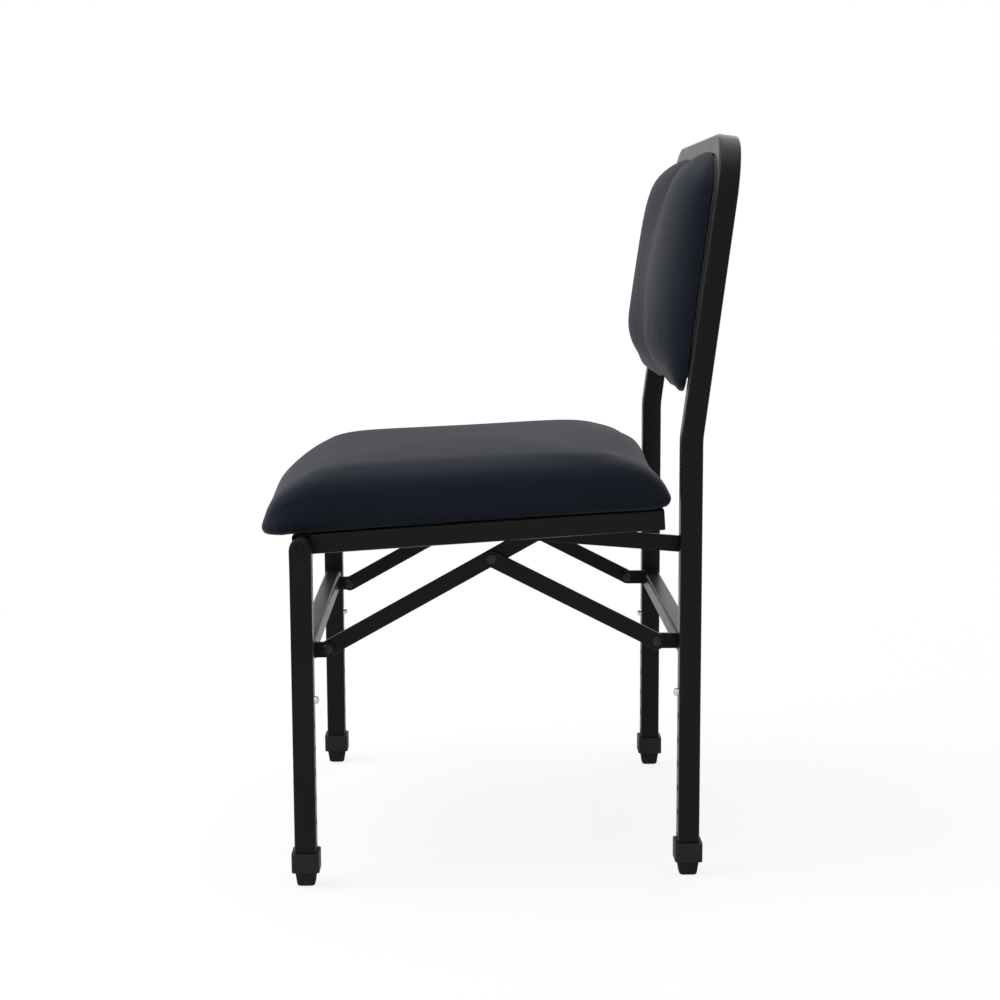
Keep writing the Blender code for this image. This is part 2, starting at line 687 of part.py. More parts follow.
def build_side_rails(paint, carrier):
    """Tubes behind the front rail, closed at the rear end."""
    start = CROSS_TUBE / 2 + FIT
    outer = rounded_square(TUBE, RAIL_HEIGHT, TUBE_CORNER)
    inner = rounded_square(BORE, RAIL_HEIGHT - 2 * TUBE_WALL, TUBE_CORNER - TUBE_WALL)
    for label, side in SIDES:
        plane = SEAT_FRAME @ Matrix(((1, 0, 0, side * REAR_X), (0, 0, 1, 0), (0, 1, 0, 0), (0, 0, 0, 1)))
        rail = finish("seat_rail_" + label, prism(outer, start, RAIL_LENGTH, plane), paint, carrier)
        cut(rail, prism(inner, start - TUBE, RAIL_LENGTH - TUBE_WALL, plane))
        weld_stud(rail, SEAT_LINK, side)


def hinge_bar_top(s):
    """Height of the hinge bars' upper edge in the seat frame, at a distance back along the rails."""
    across = Vector((math.cos(SEAT_TILT), math.sin(SEAT_TILT)))
    square = Vector((-across.y, across.x))
    ahead = HINGE - SEAT_LINK
    slope = ahead.dot(square) / ahead.dot(across)
    link = SEAT_LINK - SEAT_PIVOT
    return link.dot(square) + (s - link.dot(across)) * slope + BAR_WIDTH / 2 * math.hypot(1, slope)


def build_cross_rails(paint, carrier):
    """The front rail turns between the front legs, and the rear rail stops on the hinge bars."""
    front = rounded_square(CROSS_TUBE, RAIL_HEIGHT, CROSS_CORNER)
    bore = CROSS_TUBE - 2 * TUBE_WALL
    hollow = rounded_square(bore, RAIL_HEIGHT - 2 * TUBE_WALL, CROSS_CORNER - TUBE_WALL)
    half = FRONT_INNER_X - NEST_GAP
    made = straight_tube(front, hollow, -half, half, SEAT_SIDE)
    front_rail = finish("seat_front_rail", made, paint, carrier)
    bottom = hinge_bar_top(REAR_RAIL_S) + FIT
    height = RAIL_TOP - bottom
    place = (REAR_RAIL_S + CROSS_TUBE / 2, bottom + height / 2)
    rear = shifted(rounded_square(CROSS_TUBE, height, CROSS_CORNER), place)
    rear_hollow = shifted(rounded_square(bore, height - 2 * TUBE_WALL, CROSS_CORNER - TUBE_WALL), place)
    half = REAR_INNER_X - FIT
    made = straight_tube(rear, rear_hollow, -half, half, SEAT_SIDE)
    rear_rail = finish("seat_rear_rail", made, paint, carrier)
    return ((front_rail, "front", 0, 0, -RAIL_TOP),
            (rear_rail, "rear_left", SEAT_SCREW_X, place[0], bottom),
            (rear_rail, "rear_right", -SEAT_SCREW_X, place[0], bottom))


def board_outline(margin):
    """The seat board seen from above, grown by a margin all round."""
    wide = BOARD_HALF_WIDTH + margin
    front = -BOARD_FRONT_REACH - margin
    rear = BOARD_REAR_S + margin
    return [Vector((wide, front)), Vector((wide, rear)), Vector((-wide, rear)), Vector((-wide, front))]


def build_seat_board(wood, carrier):
    return finish("seat_board", prism(board_outline(0), BOARD_BOTTOM, BOARD_TOP, SEAT_FRAME), wood, carrier)


def build_seat_screws(spots, board, steel, carrier):
    """Screws up through the cross rails into the board."""
    depth = BOARD_THICKNESS * SCREW_BITE
    up = SEAT_FRAME.to_3x3() @ Vector((0, 0, 1))
    for rail, label, x, s, bottom in spots:
        foot = SEAT_FRAME @ Vector((x, s, bottom))
        length = BOARD_BOTTOM - bottom + depth
        drill(rail, foot, up, SCREW_RADIUS + PIN_FIT, -TUBE_WALL, length)
        drill(board, foot, up, SCREW_RADIUS + PIN_FIT, BOARD_BOTTOM - bottom - TUBE_WALL, length + FIT)
        finish("seat_screw_" + label, turned(screw_profile(length), foot, up), steel, carrier)


def screw_profile(length):
    head = -FIT - SCREW_HEAD_HEIGHT
    return [(SCREW_HEAD_RADIUS * 0.7, head), (SCREW_HEAD_RADIUS, head + SCREW_HEAD_HEIGHT / 2),
            (SCREW_HEAD_RADIUS, -FIT), (SCREW_RADIUS, -FIT), (SCREW_RADIUS, length)]


def soft_outline(half_width, half_length, corners, bow):
    """A rounded outline whose sides are drawn in between its corners, anticlockwise."""
    points = []
    signs = ((1, -1), (1, 1), (-1, 1), (-1, -1))
    for turn, ((right, up), radius) in enumerate(zip(signs, corners)):
        centre = Vector((right * (half_width - radius), up * (half_length - radius)))
        for step in range(SOFT_CORNER_STEPS + 1):
            angle = math.radians(-90 + 90 * turn + 90 * step / SOFT_CORNER_STEPS)
            points.append(centre + radius * Vector((math.cos(angle), math.sin(angle))))
        follow = signs[(turn + 1) % 4]
        following = corners[(turn + 1) % 4]
        start = points[-1]
        end = Vector((follow[0] * (half_width - following), follow[1] * (half_length - following)))
        outward = Vector((math.cos(math.radians(90 * turn)), math.sin(math.radians(90 * turn))))
        end += outward * following
        for step in range(1, SOFT_SIDE_STEPS):
            share = step / SOFT_SIDE_STEPS
            drawn = bow * math.sin(math.pi * share)
            points.append(start.lerp(end, share) - outward * drawn)
    return points


def cushion_outlines():
    """Outlines with their share of the edge height, up the drawn-in sides and over the crown."""
    half_length = (CUSHION_REAR_S + CUSHION_FRONT_REACH) / 2
    # Share of the side round-over, share of the end round-over, share of the edge height
    shape = ((0.11, 0.05, 0.0), (0.0, 0.0, 0.08), (0.02, 0.03, 0.30), (0.06, 0.09, 0.52),
             (0.16, 0.22, 0.72), (0.32, 0.42, 0.86), (0.60, 0.68, 0.95), (1.0, 1.0, 1.0))
    for side_share, end_share, rise in shape:
        wide = CUSHION_HALF_WIDTH - side_share * CUSHION_SIDE_ROUND
        deep = half_length - end_share * CUSHION_END_ROUND
        yield soft_outline(wide, deep, (CUSHION_CORNER,) * 4, CUSHION_BOW), rise
    for share in (0.72, 0.45, 0.18):
        outline = soft_outline(wide * share, deep * share, (CUSHION_CORNER * share,) * 4, CUSHION_BOW * share)
        yield outline, 1 + CUSHION_CROWN * (1 - share ** 2)


def cushion_ring(outline, rise):
    length = CUSHION_REAR_S + CUSHION_FRONT_REACH
    ring = []
    for point in outline:
        back = point.y + length / 2
        edge = CUSHION_EDGE_FRONT + (CUSHION_EDGE_REAR - CUSHION_EDGE_FRONT) * back / length
        ring.append(SEAT_FRAME @ Vector((point.x, back - CUSHION_FRONT_REACH, BOARD_BOTTOM + edge * rise)))
    return ring


def build_seat_cushion(fabric, carrier):
    """The cushion wraps the board, which fills the recess in its underside."""
    rings = [cushion_ring(outline, rise) for outline, rise in cushion_outlines()]
    cushion = finish("seat_cushion", solid_of_rings(rings), fabric, carrier)
    cut(cushion, prism(board_outline(FIT), BOARD_BOTTOM - BOARD_THICKNESS, BOARD_TOP + FIT, SEAT_FRAME))


def pad_bulge(x, u):
    """Share of the pad's depth at a place on it: two upright lobes that round off at the edges."""
    beyond = abs(x) - PAD_LOBE_X
    if beyond > 0:
        lobe = math.sqrt(max(0.0, 1 - (beyond / (PAD_HALF_WIDTH - PAD_LOBE_X)) ** 2))
    else:
        lobe = 1 - PAD_VALLEY * (1 + math.cos(math.pi * x / PAD_LOBE_X)) / 2
    low = min(1.0, max(0.0, u / PAD_BOTTOM_ROUND))
    high = min(1.0, max(0.0, (PAD_HEIGHT - u) / PAD_TOP_ROUND))
    taper = 1 - PAD_TAPER * u / PAD_HEIGHT
    return lobe * taper * (1 - (1 - low) ** PAD_BOTTOM_FALL) * (1 - (1 - high) ** PAD_TOP_FALL)


def pad_rings():
    half_height = PAD_HEIGHT / 2
    corners = (PAD_BOTTOM_CORNER, PAD_TOP_CORNER, PAD_TOP_CORNER, PAD_BOTTOM_CORNER)
    outline = soft_outline(PAD_HALF_WIDTH, half_height, corners, 0.0)
    rings = [[BACK_FRAME @ Vector((point.x, point.y + half_height, FIT)) for point in outline]]
    for share in (1.0, 0.97, 0.91, 0.83, 0.73, 0.61, 0.48, 0.34, 0.20, 0.08):
        ring = []
        for point in outline:
            x = point.x * share
            u = point.y * share + half_height
            ring.append(BACK_FRAME @ Vector((x, u, FIT + PAD_EDGE + PAD_DEPTH * pad_bulge(x, u))))
        rings.append(ring)
    return rings


def build_back(frame, finishes):
    """Panel inside the loop, pad in front of it, tabs on the uprights and the screws in them."""
    bar_middle = (TOP_Z - PAD_BOTTOM_Z) / math.cos(RECLINE) + TUBE / 2 * math.tan(RECLINE)
    panel_top = bar_middle - TUBE / 2 - 2 * FIT
    half_height = (panel_top - PANEL_HEM) / 2
    half_width = REAR_INNER_X - FIT
    flat = soft_outline(half_width, half_height, (PANEL_CORNER,) * 4, 0.0)
    centre = half_height + PANEL_HEM
    outline = shifted(flat, (0, centre))
    back_of_panel = -FIT - PANEL_THICKNESS
    panel = finish("back_panel", prism(outline, back_of_panel, -FIT, BACK_FRAME), finishes["board"])
    finish("back_pad", solid_of_rings(pad_rings()), finishes["fabric"])
    tab_front = back_of_panel - FIT
    tab_back = tab_front - TAB_THICKNESS
    ahead = BACK_FRAME.to_3x3() @ Vector((0, 0, 1))
    flat_tab = rounded_square(TAB_REACH, TAB_HEIGHT, TAB_THICKNESS)
    for row, u in (("lower", centre - half_height + TAB_INSET), ("upper", centre + half_height - TAB_INSET)):
        for label, side in SIDES:
            middle = Vector((side * (REAR_INNER_X + TUBE_WALL / 2 - TAB_REACH / 2), u))
            weld(frame, prism(shifted(flat_tab, middle), tab_back, tab_front, BACK_FRAME))
            foot = BACK_FRAME @ Vector((*middle, tab_back))
            length = TAB_THICKNESS + FIT + PANEL_THICKNESS * SCREW_BITE
            drill(frame, foot, ahead, SCREW_RADIUS + PIN_FIT, -TAB_THICKNESS, 2 * TAB_THICKNESS)
            drill(panel, foot, ahead, SCREW_RADIUS + PIN_FIT, 0, length + FIT)
            screw = turned(screw_profile(length), foot, ahead)
            finish("back_screw_" + row + "_" + label, screw, finishes["steel_dark"])


def build_seat(finishes, carrier):
    build_side_rails(finishes["paint"], carrier)
    rails = build_cross_rails(finishes["paint"], carrier)
    board = build_seat_board(finishes["board"], carrier)
    build_seat_screws(rails, board, finishes["steel_dark"], carrier)
    build_seat_cushion(finishes["fabric"], carrier)


def build_front_frame(finishes, carrier):
    build_front_legs(finishes["paint"], carrier)
    build_stretcher("front_stretcher", FRONT_LEG_Y, FRONT_INNER_X - FIT, finishes["paint"], carrier)


def main():
    clear_scene()
    finishes = {"paint": black_paint(), "fabric": navy_fabric(), "plastic": black_plastic(),
                "rubber": black_rubber(), "steel": bright_steel(), "board": dark_board(),
                "steel_dark": material("dark_steel", (0.05, 0.05, 0.052), 0.4, 0.8)}
    carriers = {"rear_brace": pivot("axis_rear_brace", REAR_BRACE_PIVOT),
                "front_brace": pivot("axis_front_brace", KNUCKLE),
                "front_frame": pivot("axis_front_frame", FRONT_BRACE_PIVOT),
                "hinge_bar": pivot("axis_hinge_bar", HINGE), "seat": pivot("axis_seat", SEAT_LINK)}
    frame = build_back_frame(finishes["paint"])
    build_stretcher("rear_stretcher", REAR_LEG_Y, REAR_INNER_X - FIT, finishes["paint"])
    build_front_frame(finishes, carriers["front_frame"])
    build_brackets(finishes["paint"], carriers)
    build_braces(finishes["paint"], carriers)
    build_pivots(finishes["steel_dark"], carriers)
    build_feet(finishes, carriers["front_frame"])
    build_seat(finishes, carriers["seat"])
    build_back(frame, finishes)


main()
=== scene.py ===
"""Looks of the folding musician chair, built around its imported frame.

Metres, +Z up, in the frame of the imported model: the sitter faces -Y and the sitter's left hand is at +X.
"""

import json
import math
from contextlib import contextmanager

import bpy
from mathutils import Matrix, Vector, geometry, noise

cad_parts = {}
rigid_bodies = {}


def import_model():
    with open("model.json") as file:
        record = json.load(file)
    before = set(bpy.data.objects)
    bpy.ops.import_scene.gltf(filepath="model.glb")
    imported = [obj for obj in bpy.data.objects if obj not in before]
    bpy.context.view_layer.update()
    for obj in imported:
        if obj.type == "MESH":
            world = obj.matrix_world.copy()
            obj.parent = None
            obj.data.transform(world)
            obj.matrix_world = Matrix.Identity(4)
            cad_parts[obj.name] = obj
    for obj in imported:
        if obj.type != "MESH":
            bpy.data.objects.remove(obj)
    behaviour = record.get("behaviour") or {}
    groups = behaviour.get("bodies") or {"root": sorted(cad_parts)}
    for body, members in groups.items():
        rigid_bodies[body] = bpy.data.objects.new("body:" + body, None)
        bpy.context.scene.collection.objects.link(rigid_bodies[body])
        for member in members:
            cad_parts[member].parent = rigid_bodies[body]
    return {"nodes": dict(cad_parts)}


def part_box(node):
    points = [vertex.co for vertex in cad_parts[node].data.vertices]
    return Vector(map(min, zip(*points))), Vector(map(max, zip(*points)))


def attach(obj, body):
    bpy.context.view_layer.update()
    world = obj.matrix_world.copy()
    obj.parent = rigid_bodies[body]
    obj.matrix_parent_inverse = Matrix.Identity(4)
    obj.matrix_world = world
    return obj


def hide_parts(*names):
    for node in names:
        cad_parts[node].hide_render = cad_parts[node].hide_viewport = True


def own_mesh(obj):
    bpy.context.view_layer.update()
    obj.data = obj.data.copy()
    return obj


for leftover in list(bpy.data.objects):
    bpy.data.objects.remove(leftover, do_unlink=True)
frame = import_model()
nodes = frame["nodes"]
bpy.context.view_layer.update()

SIDES = (("left", 1), ("right", -1))

# Seat frame: x across, y back along the rails, z square to the seat
SEAT_TILT = math.radians(3.566)
SEAT_PIVOT = (0, -0.2009, 0.3502)
SEAT = Matrix.Translation(SEAT_PIVOT) @ Matrix.Rotation(SEAT_TILT, 4, "X")
SEAT_BOARD_BOTTOM = 0.0108
SEAT_BOARD_THICKNESS = 0.0090

# Back frame: x across, y up along the front of the tube, z forwards
RECLINE = math.radians(7.5)
PAD_FOOT = (0, 0.186841, 0.4925)
BACK = Matrix.Translation(PAD_FOOT) @ Matrix.Rotation(math.pi / 2 - RECLINE, 4, "X")

# Play between pieces that are fitted together
FIT = 0.0003

# Tube frames
TUBE = 0.0222
TUBE_CORNER = 0.0030
TUBE_WALL = 0.0014
CROSS_TUBE = 0.0190
CROSS_CORNER = 0.0025
REAR_X = 0.2100
REAR_Y = 0.1931
FRONT_Y = -0.2009
LEG_GAP = 0.0006
LEG_END = 0.0186
RECLINE_START = 0.4550
RECLINE_BEND = 0.1000
RECLINE_STEPS = 8
TOP_BEND = 0.0570
TOP_STEPS = 24
TOP_BAR_Z = 0.747912
STRETCHER_Z = 0.2375
REAR_INNER_X = REAR_X - TUBE / 2
FRONT_INNER_X = REAR_X + TUBE / 2 + LEG_GAP
HOLE_TOP = 0.1927
HOLE_PITCH = 0.0254
HOLE_RADIUS = 0.0042
HOLE_COUNT = 7
HOLE_SIDES = 24

# Flat bars, and the brackets on the stretchers: name, body and the middle of the foot on the left
BAR = 0.0040
BRACKETS = (("rear_bracket_", "rear_frame", (0.1869, REAR_Y - CROSS_TUBE / 2, 0.2420)),
            ("front_bracket_", "front_frame", (0.1914, FRONT_Y + CROSS_TUBE / 2, 0.2360)))
BRACKET_HEIGHT = 0.0160
BRACKET_CORNER = 0.0006

# Rivets, hinge studs and screws: radii, and heights or lengths along their axis
TURN_STEPS = 32
DOME_STEPS = 6
RIVET = 0.0030
RIVET_HEAD = 0.0055
RIVET_DOME = 0.0015
RIVET_LENGTH = 0.0121
RIVET_ROWS = (("rear_brace_rivet_", "rear_frame"), ("front_brace_rivet_", "front_frame"),
              ("knuckle_rivet_", "rear_braces"))
HINGE = (0.1931, 0.3441)
STUD_NECK = 0.0053
STUD_FLANGE = 0.0007
SCREW_HEAD = 0.0042
SCREW_DOME = 0.0020
SCREW_SHANK = 0.0020
SCREW_LENGTH = 0.0100
SCREW_RECESS = (0.0048, 0.0009, 0.0024)

# Snap buttons and their springs; each row of legs has the way along Y that its buttons point
BUTTON_ROWS = (("rear", -1), ("front", 1))
BUTTON = 0.0039
BUTTON_DOME = 0.6 * BUTTON
BUTTON_LENGTH = 0.0084
BUTTON_FLANGE = 0.0055
BUTTON_RIM = 0.0012
SPRING_THICKNESS = 0.0008
SPRING_STEPS = 16

# Tabs behind the panel, and the panel, which presses on the tube
TAB = (0.0220, 0.0260, 0.0030)
TAB_CORNER = 0.0040
TAB_EDGE = 0.0004
TAB_HOLE = 0.0023
TAB_X = 0.1886
TAB_ROWS = (0.0710, 0.182377)
TAB_BACK = -0.0118
PANEL_PRESS = 0.0004
PANEL_TUCK = 0.0140
PANEL_HEM = 0.0120
PANEL_HEM_STEP = 0.0005
PANEL_EDGE = 0.0012

# Weld beads
WELD_RADIUS = 0.0011
WELD_RIPPLE = 0.0003
WELD_RIPPLES = 900
WELD_PITCH = 0.0009
WELD_SINK = 0.0004

# Points nearer than this are one, in a modelled piece and in a CAD node's loose triangles
DOUBLE = 0.000001
LOOSE = 0.00002

# Degrees of turn past which an edge stays sharp
SHARP_TUBE = 35
SHARP_TURNED = 40
SHARP_WELD = 60

# The small rounding of a CAD node's edges, and the degrees of turn past which an edge gets it
SOFT_EDGE = 0.0004
SOFT_EDGE_TURN = 40

# Covers of the cushion and the pad: how they are made into cloth and swell
COVER_MAP = "cover"
SEAT_VOXEL = 0.005
PAD_VOXEL = 0.004
COVER_SHRINK = 0.0010
COVER_PRESSURE = 4.0
COVER_STIFFNESS = 1.5
SWELL_STEPS = 20
SWELL = 0.0025
SWELL_FRONT = 0.0055
SWELL_SIDE = 0.0030
SWELL_REACH = 0.21
SINK = 0.0005

# Heights below which a cover is held tight, and the spare stuffing behind the pad that is trimmed off
SEAT_HOLD = SEAT_BOARD_BOTTOM + SEAT_BOARD_THICKNESS + 0.002
PAD_HOLD = 0.001
PAD_SPARE = 0.007
PAD_REAR = FIT + 0.0002

# Stuffing pushed at listed spots, in the piece's own frame: a centre, a push and a spread.
# The side spots are those of the left side, and a push ends where it has faded out.
PLUMP_END = 6
SEAT_SIDE_SPOTS = (
    # a full low rear corner
    ((0.205, 0.362, 0.026), (0, 0.0070, 0), (0.055, 0.035, 0.020)),
    # an eased top front corner
    ((0.205, -0.020, 0.060), (0, 0.0030, -0.0020), (0.060, 0.035, 0.026)))
SEAT_MIDDLE_SPOTS = (
    # the crown of the front edge
    ((0, -0.034, 0.046), (0, -0.0115, 0.0010), (0.130, 0.040, 0.028)),
    # the crown of the rear edge
    ((0, 0.352, 0.055), (0, 0.0120, 0.0090), (0.130, 0.045, 0.030)))
PAD_SIDE_SPOTS = (
    # the round top of a lobe
    ((0.110, 0.228, 0.016), (0, 0.0020, 0.0055), (0.070, 0.030, 0.035)),
    # an eased top corner
    ((0.195, 0.252, 0.000), (-0.006, -0.012, 0), (0.045, 0.035, 0.050)),
    # the drawn-up bottom of a lobe
    ((0.110, 0.000, 0.000), (0, 0.0065, 0), (0.080, 0.035, 0.050)),
    # a full bottom corner
    ((0.190, 0.024, 0.004), (0.006, -0.0095, 0), (0.022, 0.030, 0.050)))
PAD_MIDDLE_SPOTS = (
    # the notches at the top and the bottom of the valley
    ((0, 0.254, 0.006), (0, -0.0090, -0.0050), (0.038, 0.040, 0.050)),
    ((0, 0.000, 0.006), (0, 0.0070, -0.0030), (0.044, 0.040, 0.050)),
    # the valley's fuller middle
    ((0, 0.118, 0.028), (0, 0, 0.0100), (0.062, 0.075, 0.020)))

# Creases on the seat's left side: a path, a width and a depth
SEAT_CREASES = (
    (((0.226, 0.318, 0.0190), (0.226, 0.372, 0.0215)), 0.0022, 0.0010),
    (((0.222, -0.030, 0.030), (0.222, 0.005, 0.046)), 0.0040, 0.0008))

# The cover's hems under the board: lip and fold along the seat, and the size and the pace of their waves
FRONT_HEM = (-0.0110, -0.0240)
REAR_HEM = (0.3220, 0.3550)
HEM_HALF = 0.1960
HEM_GRID = (98, 8)
HEM_CLOTH = 0.0006
HEM_DROP = 0.0005
HEM_WAVE = 0.0008
HEM_WAVE_PACE = 190
HEM_CREEP = 0.0006
HEM_CREEP_PACE = Vector((60, 1, 90))
HEM_RIPPLE = 0.00012
HEM_RIPPLE_PACE = 420
HEM_RIPPLE_LEAN = 3

# Staples in the hems: a row's place along the seat and its count
STAPLE_ROWS = ((-0.0175, 13), (0.3380, 13))
STAPLE = (0.0100, 0.0007, 0.0006)
STAPLE_EDGE = 0.0002
STAPLE_REACH = 0.182
STAPLE_DROP = 0.0011
STAPLE_SKEW = 0.25

# Pace of the weave's wave, at a thread every 0.8 mm
THREADS = 2 * math.pi / 0.0016

# Darkest and lightest shades of the cloths
NAVY = ((0.0033, 0.0041, 0.0072, 1), (0.0112, 0.0142, 0.0245, 1))
BACKING = ((0.0030, 0.0030, 0.0040, 1), (0.0110, 0.0115, 0.0140, 1))

# The photograph's camera: nearly level, and nearly square to the chair's left side
CAMERA_PLACE = (2.1144, -0.0331, 0.6549)
CAMERA_HEADING = math.pi / 2 - 0.0171
CAMERA_TILT = math.pi / 2 - 0.1366
CAMERA_ROLL = -0.0041
CAMERA_LENS = 68.37
CAMERA_SENSOR = 36

# Studio: each lamp's name, place, size and power, the point that they face, and the sky's share of the light
LAMPS = (("key", (0.3, -2.0, 2.2), 2.0, 60),
         ("top", (-0.2, 0.0, 3.0), 2.6, 44),
         ("back", (-2.2, 0.6, 2.0), 2.0, 15))
LAMP_AIM = Vector((0, 0, 0.4))
SKY_LIGHT = 0.35
WHITE = (1, 1, 1, 1)
FLOOR_SIZE = 40
FLOOR_DROP = 0.0003


class Value:
    """A number or colour in a node tree: arithmetic on it adds Math nodes."""

    def __init__(self, tree, socket):
        self.tree = tree
        self.socket = socket

    def math(self, operation, *others):
        return self.tree.add("ShaderNodeMath", {"operation": operation}, [self, *others])

    def __add__(self, other):
        return self.math("ADD", other)

    def __mul__(self, other):
        return self.math("MULTIPLY", other)

    def __sub__(self, other):
        return self.math("SUBTRACT", other)

    def __rsub__(self, other):
        return self * -1 + other

    __radd__ = __add__
    __rmul__ = __mul__


class Tree:
    """A node tree and the one way that its nodes are made."""

    def __init__(self, owner):
        owner.use_nodes = True
        self.owner = owner
        self.nodes = owner.node_tree.nodes
        self.links = owner.node_tree.links
        self.nodes.clear()

    def add(self, kind, settings=None, inputs=(), out=0):
        """A node of a kind: its settings are set first, then the values or links of its sockets."""
        node = self.nodes.new(kind)
        for name, setting in (settings or {}).items():
            if name == "stops":
                ramp = node.color_ramp
                while len(ramp.elements) < len(setting):
                    ramp.elements.new(0.5)
                for element, (place, shade) in zip(ramp.elements, setting):
                    element.position = place
                    element.color = shade
            else:
                setattr(node, name, setting)
        pairs = inputs.items() if isinstance(inputs, dict) else enumerate(inputs)
        for socket, value in pairs:
            if isinstance(value, Value):
                self.links.new(value.socket, node.inputs[socket])
            else:
                node.inputs[socket].default_value = value
        return Value(self, node.outputs[out]) if len(node.outputs) else node

    def place(self):
        return self.add("ShaderNodeTexCoord", out="Object")

    def split(self, vector):
        return [self.add("ShaderNodeSeparateXYZ", {}, [vector], out=axis) for axis in "XYZ"]

    def noise(self, scale, detail=2.0, rough=0.5, stretch=(1, 1, 1)):
        place = self.add("ShaderNodeMapping", {}, {"Vector": self.place(), "Scale": stretch})
        return self.add("ShaderNodeTexNoise", {},
                        {"Vector": place, "Scale": scale, "Detail": detail, "Roughness": rough})

    def ramp(self, value, *stops):
        shades = [(place, (shade, shade, shade, 1)) for place, shade in stops]
        return self.add("ShaderNodeValToRGB", {"stops": shades}, [value])

    def mix(self, share, first, second):
        return self.add("ShaderNodeMix", {"data_type": "RGBA"}, {0: share, 6: first, 7: second}, out=2)

    def bump(self, height, strength, distance):
        return self.add("ShaderNodeBump", {}, {"Height": height, "Strength": strength, "Distance": distance})

    def surface(self, **sockets):
        named = {name.replace("_", " "): value for name, value in sockets.items()}
        shader = self.add("ShaderNodeBsdfPrincipled", {}, named)
        self.add("ShaderNodeOutputMaterial", {}, [shader])
        return self.owner


def finish_tree(name):
    """The empty tree of a new finish."""
    return Tree(bpy.data.materials.new(name))


def black_paint():
    """Satin black enamel with a fine orange peel, a few dull patches and specks of dust."""
    tree = finish_tree("satin_black_paint")
    peel = tree.noise(900, detail=2)
    patches = tree.noise(14, detail=4, rough=0.6)
    specks = tree.ramp(tree.noise(420, detail=1), (0.70, 0.0), (0.78, 1.0))
    shade = tree.mix(patches, (0.0040, 0.0040, 0.0042, 1), (0.0070, 0.0069, 0.0070, 1))
    colour = tree.mix(specks * 0.3, shade, (0.03, 0.03, 0.03, 1))
    rough = 0.28 + patches * 0.12 + specks * 0.1
    return tree.surface(Base_Color=colour, Roughness=rough, Specular_IOR_Level=0.11,
                        Normal=tree.bump(peel, 0.10, 0.0006))


def woven_cloth(name, shades, on_map):
    """A close plain weave with slubs and a soft sheen, which follows the cover's map or stands upright."""
    tree = finish_tree(name)
    flat = tree.add("ShaderNodeUVMap", {"uv_map": COVER_MAP}) if on_map else tree.place()
    across, along, up = tree.split(flat)
    warp = (across * THREADS).math("SINE")
    weft = ((along if on_map else up) * THREADS).math("SINE")
    weave = warp * weft
    slub = tree.noise(330, detail=3, rough=0.6)
    drift = tree.noise(11, detail=3, rough=0.55)
    yarn = 0.2 + weave * 0.12 + slub * 0.35 + drift * 0.25
    colour = tree.mix(tree.ramp(yarn, (0.20, 0.0), (0.85, 1.0)), *shades)
    height = weave * 0.5 + slub
    return tree.surface(Base_Color=colour, Roughness=0.80 + slub * 0.15, Specular_IOR_Level=0.08,
                        Sheen_Weight=0.14, Sheen_Roughness=0.45, Sheen_Tint=(0.92, 0.95, 1.0, 1),
                        Normal=tree.bump(height, 0.25, 0.0005))


def moulded_plastic():
    """Matt moulded nylon with a fine spark-eroded grain."""
    tree = finish_tree("moulded_plastic")
    grain = tree.noise(1400, detail=3, rough=0.6)
    drift = tree.noise(30, detail=3)
    colour = tree.mix(drift, (0.0070, 0.0076, 0.0074, 1), (0.0115, 0.0122, 0.0118, 1))
    return tree.surface(Base_Color=colour, Roughness=0.50 + grain * 0.16, Specular_IOR_Level=0.20,
                        Normal=tree.bump(grain, 0.22, 0.0005))


def foot_rubber():
    """Dull black rubber, paler where it has rubbed on the floor."""
    tree = finish_tree("foot_rubber")
    grain = tree.noise(700, detail=4, rough=0.65)
    scuff = tree.ramp(tree.noise(90, detail=4, rough=0.7), (0.45, 0.0), (0.75, 1.0))
    up = tree.split(tree.place())[2]
    low = tree.ramp(up * 100, (0.15, 1.0), (0.7, 0.0))
    colour = tree.mix(scuff * low, (0.0068, 0.0080, 0.0076, 1), (0.030, 0.031, 0.029, 1))
    return tree.surface(Base_Color=colour, Roughness=0.70 + grain * 0.2, Specular_IOR_Level=0.2,
                        Normal=tree.bump(grain, 0.30, 0.0006))


def bright_steel():
    """Plated steel with fine turning marks."""
    tree = finish_tree("bright_steel")
    marks = tree.noise(1600, detail=2, stretch=(1, 0.05, 1))
    drift = tree.noise(60, detail=3)
    colour = tree.mix(drift, (0.50, 0.50, 0.49, 1), (0.66, 0.66, 0.65, 1))
    return tree.surface(Base_Color=colour, Roughness=0.18 + marks * 0.16, Metallic=1.0,
                        Normal=tree.bump(marks, 0.08, 0.0004))


def blackened_steel():
    """Blackened fasteners, a little bare on the crowns of their heads."""
    tree = finish_tree("blackened_steel")
    drift = tree.noise(120, detail=4, rough=0.6)
    bare = tree.ramp(tree.noise(380, detail=3, rough=0.6), (0.58, 0.0), (0.72, 1.0))
    colour = tree.mix(bare * 0.5, (0.018, 0.018, 0.019, 1), (0.16, 0.16, 0.16, 1))
    return tree.surface(Base_Color=colour, Roughness=0.34 + drift * 0.2, Metallic=0.7,
                        Normal=tree.bump(drift, 0.10, 0.0004))


def dark_board():
    """Black-stained fibreboard with a felted surface."""
    tree = finish_tree("dark_board")
    fibre = tree.noise(320, detail=4, rough=0.7, stretch=(1, 0.25, 1))
    cloud = tree.noise(18, detail=3)
    colour = tree.mix(fibre * 0.7 + cloud * 0.3, (0.012, 0.011, 0.010, 1), (0.040, 0.036, 0.032, 1))
    return tree.surface(Base_Color=colour, Roughness=0.78 + fibre * 0.18, Specular_IOR_Level=0.3,
                        Normal=tree.bump(fibre, 0.35, 0.0008))


def choose(*items):
    """Select only these objects, the last one active."""
    bpy.ops.object.select_all(action="DESELECT")
    for item in items:
        item.select_set(True)
        bpy.context.view_layer.objects.active = item


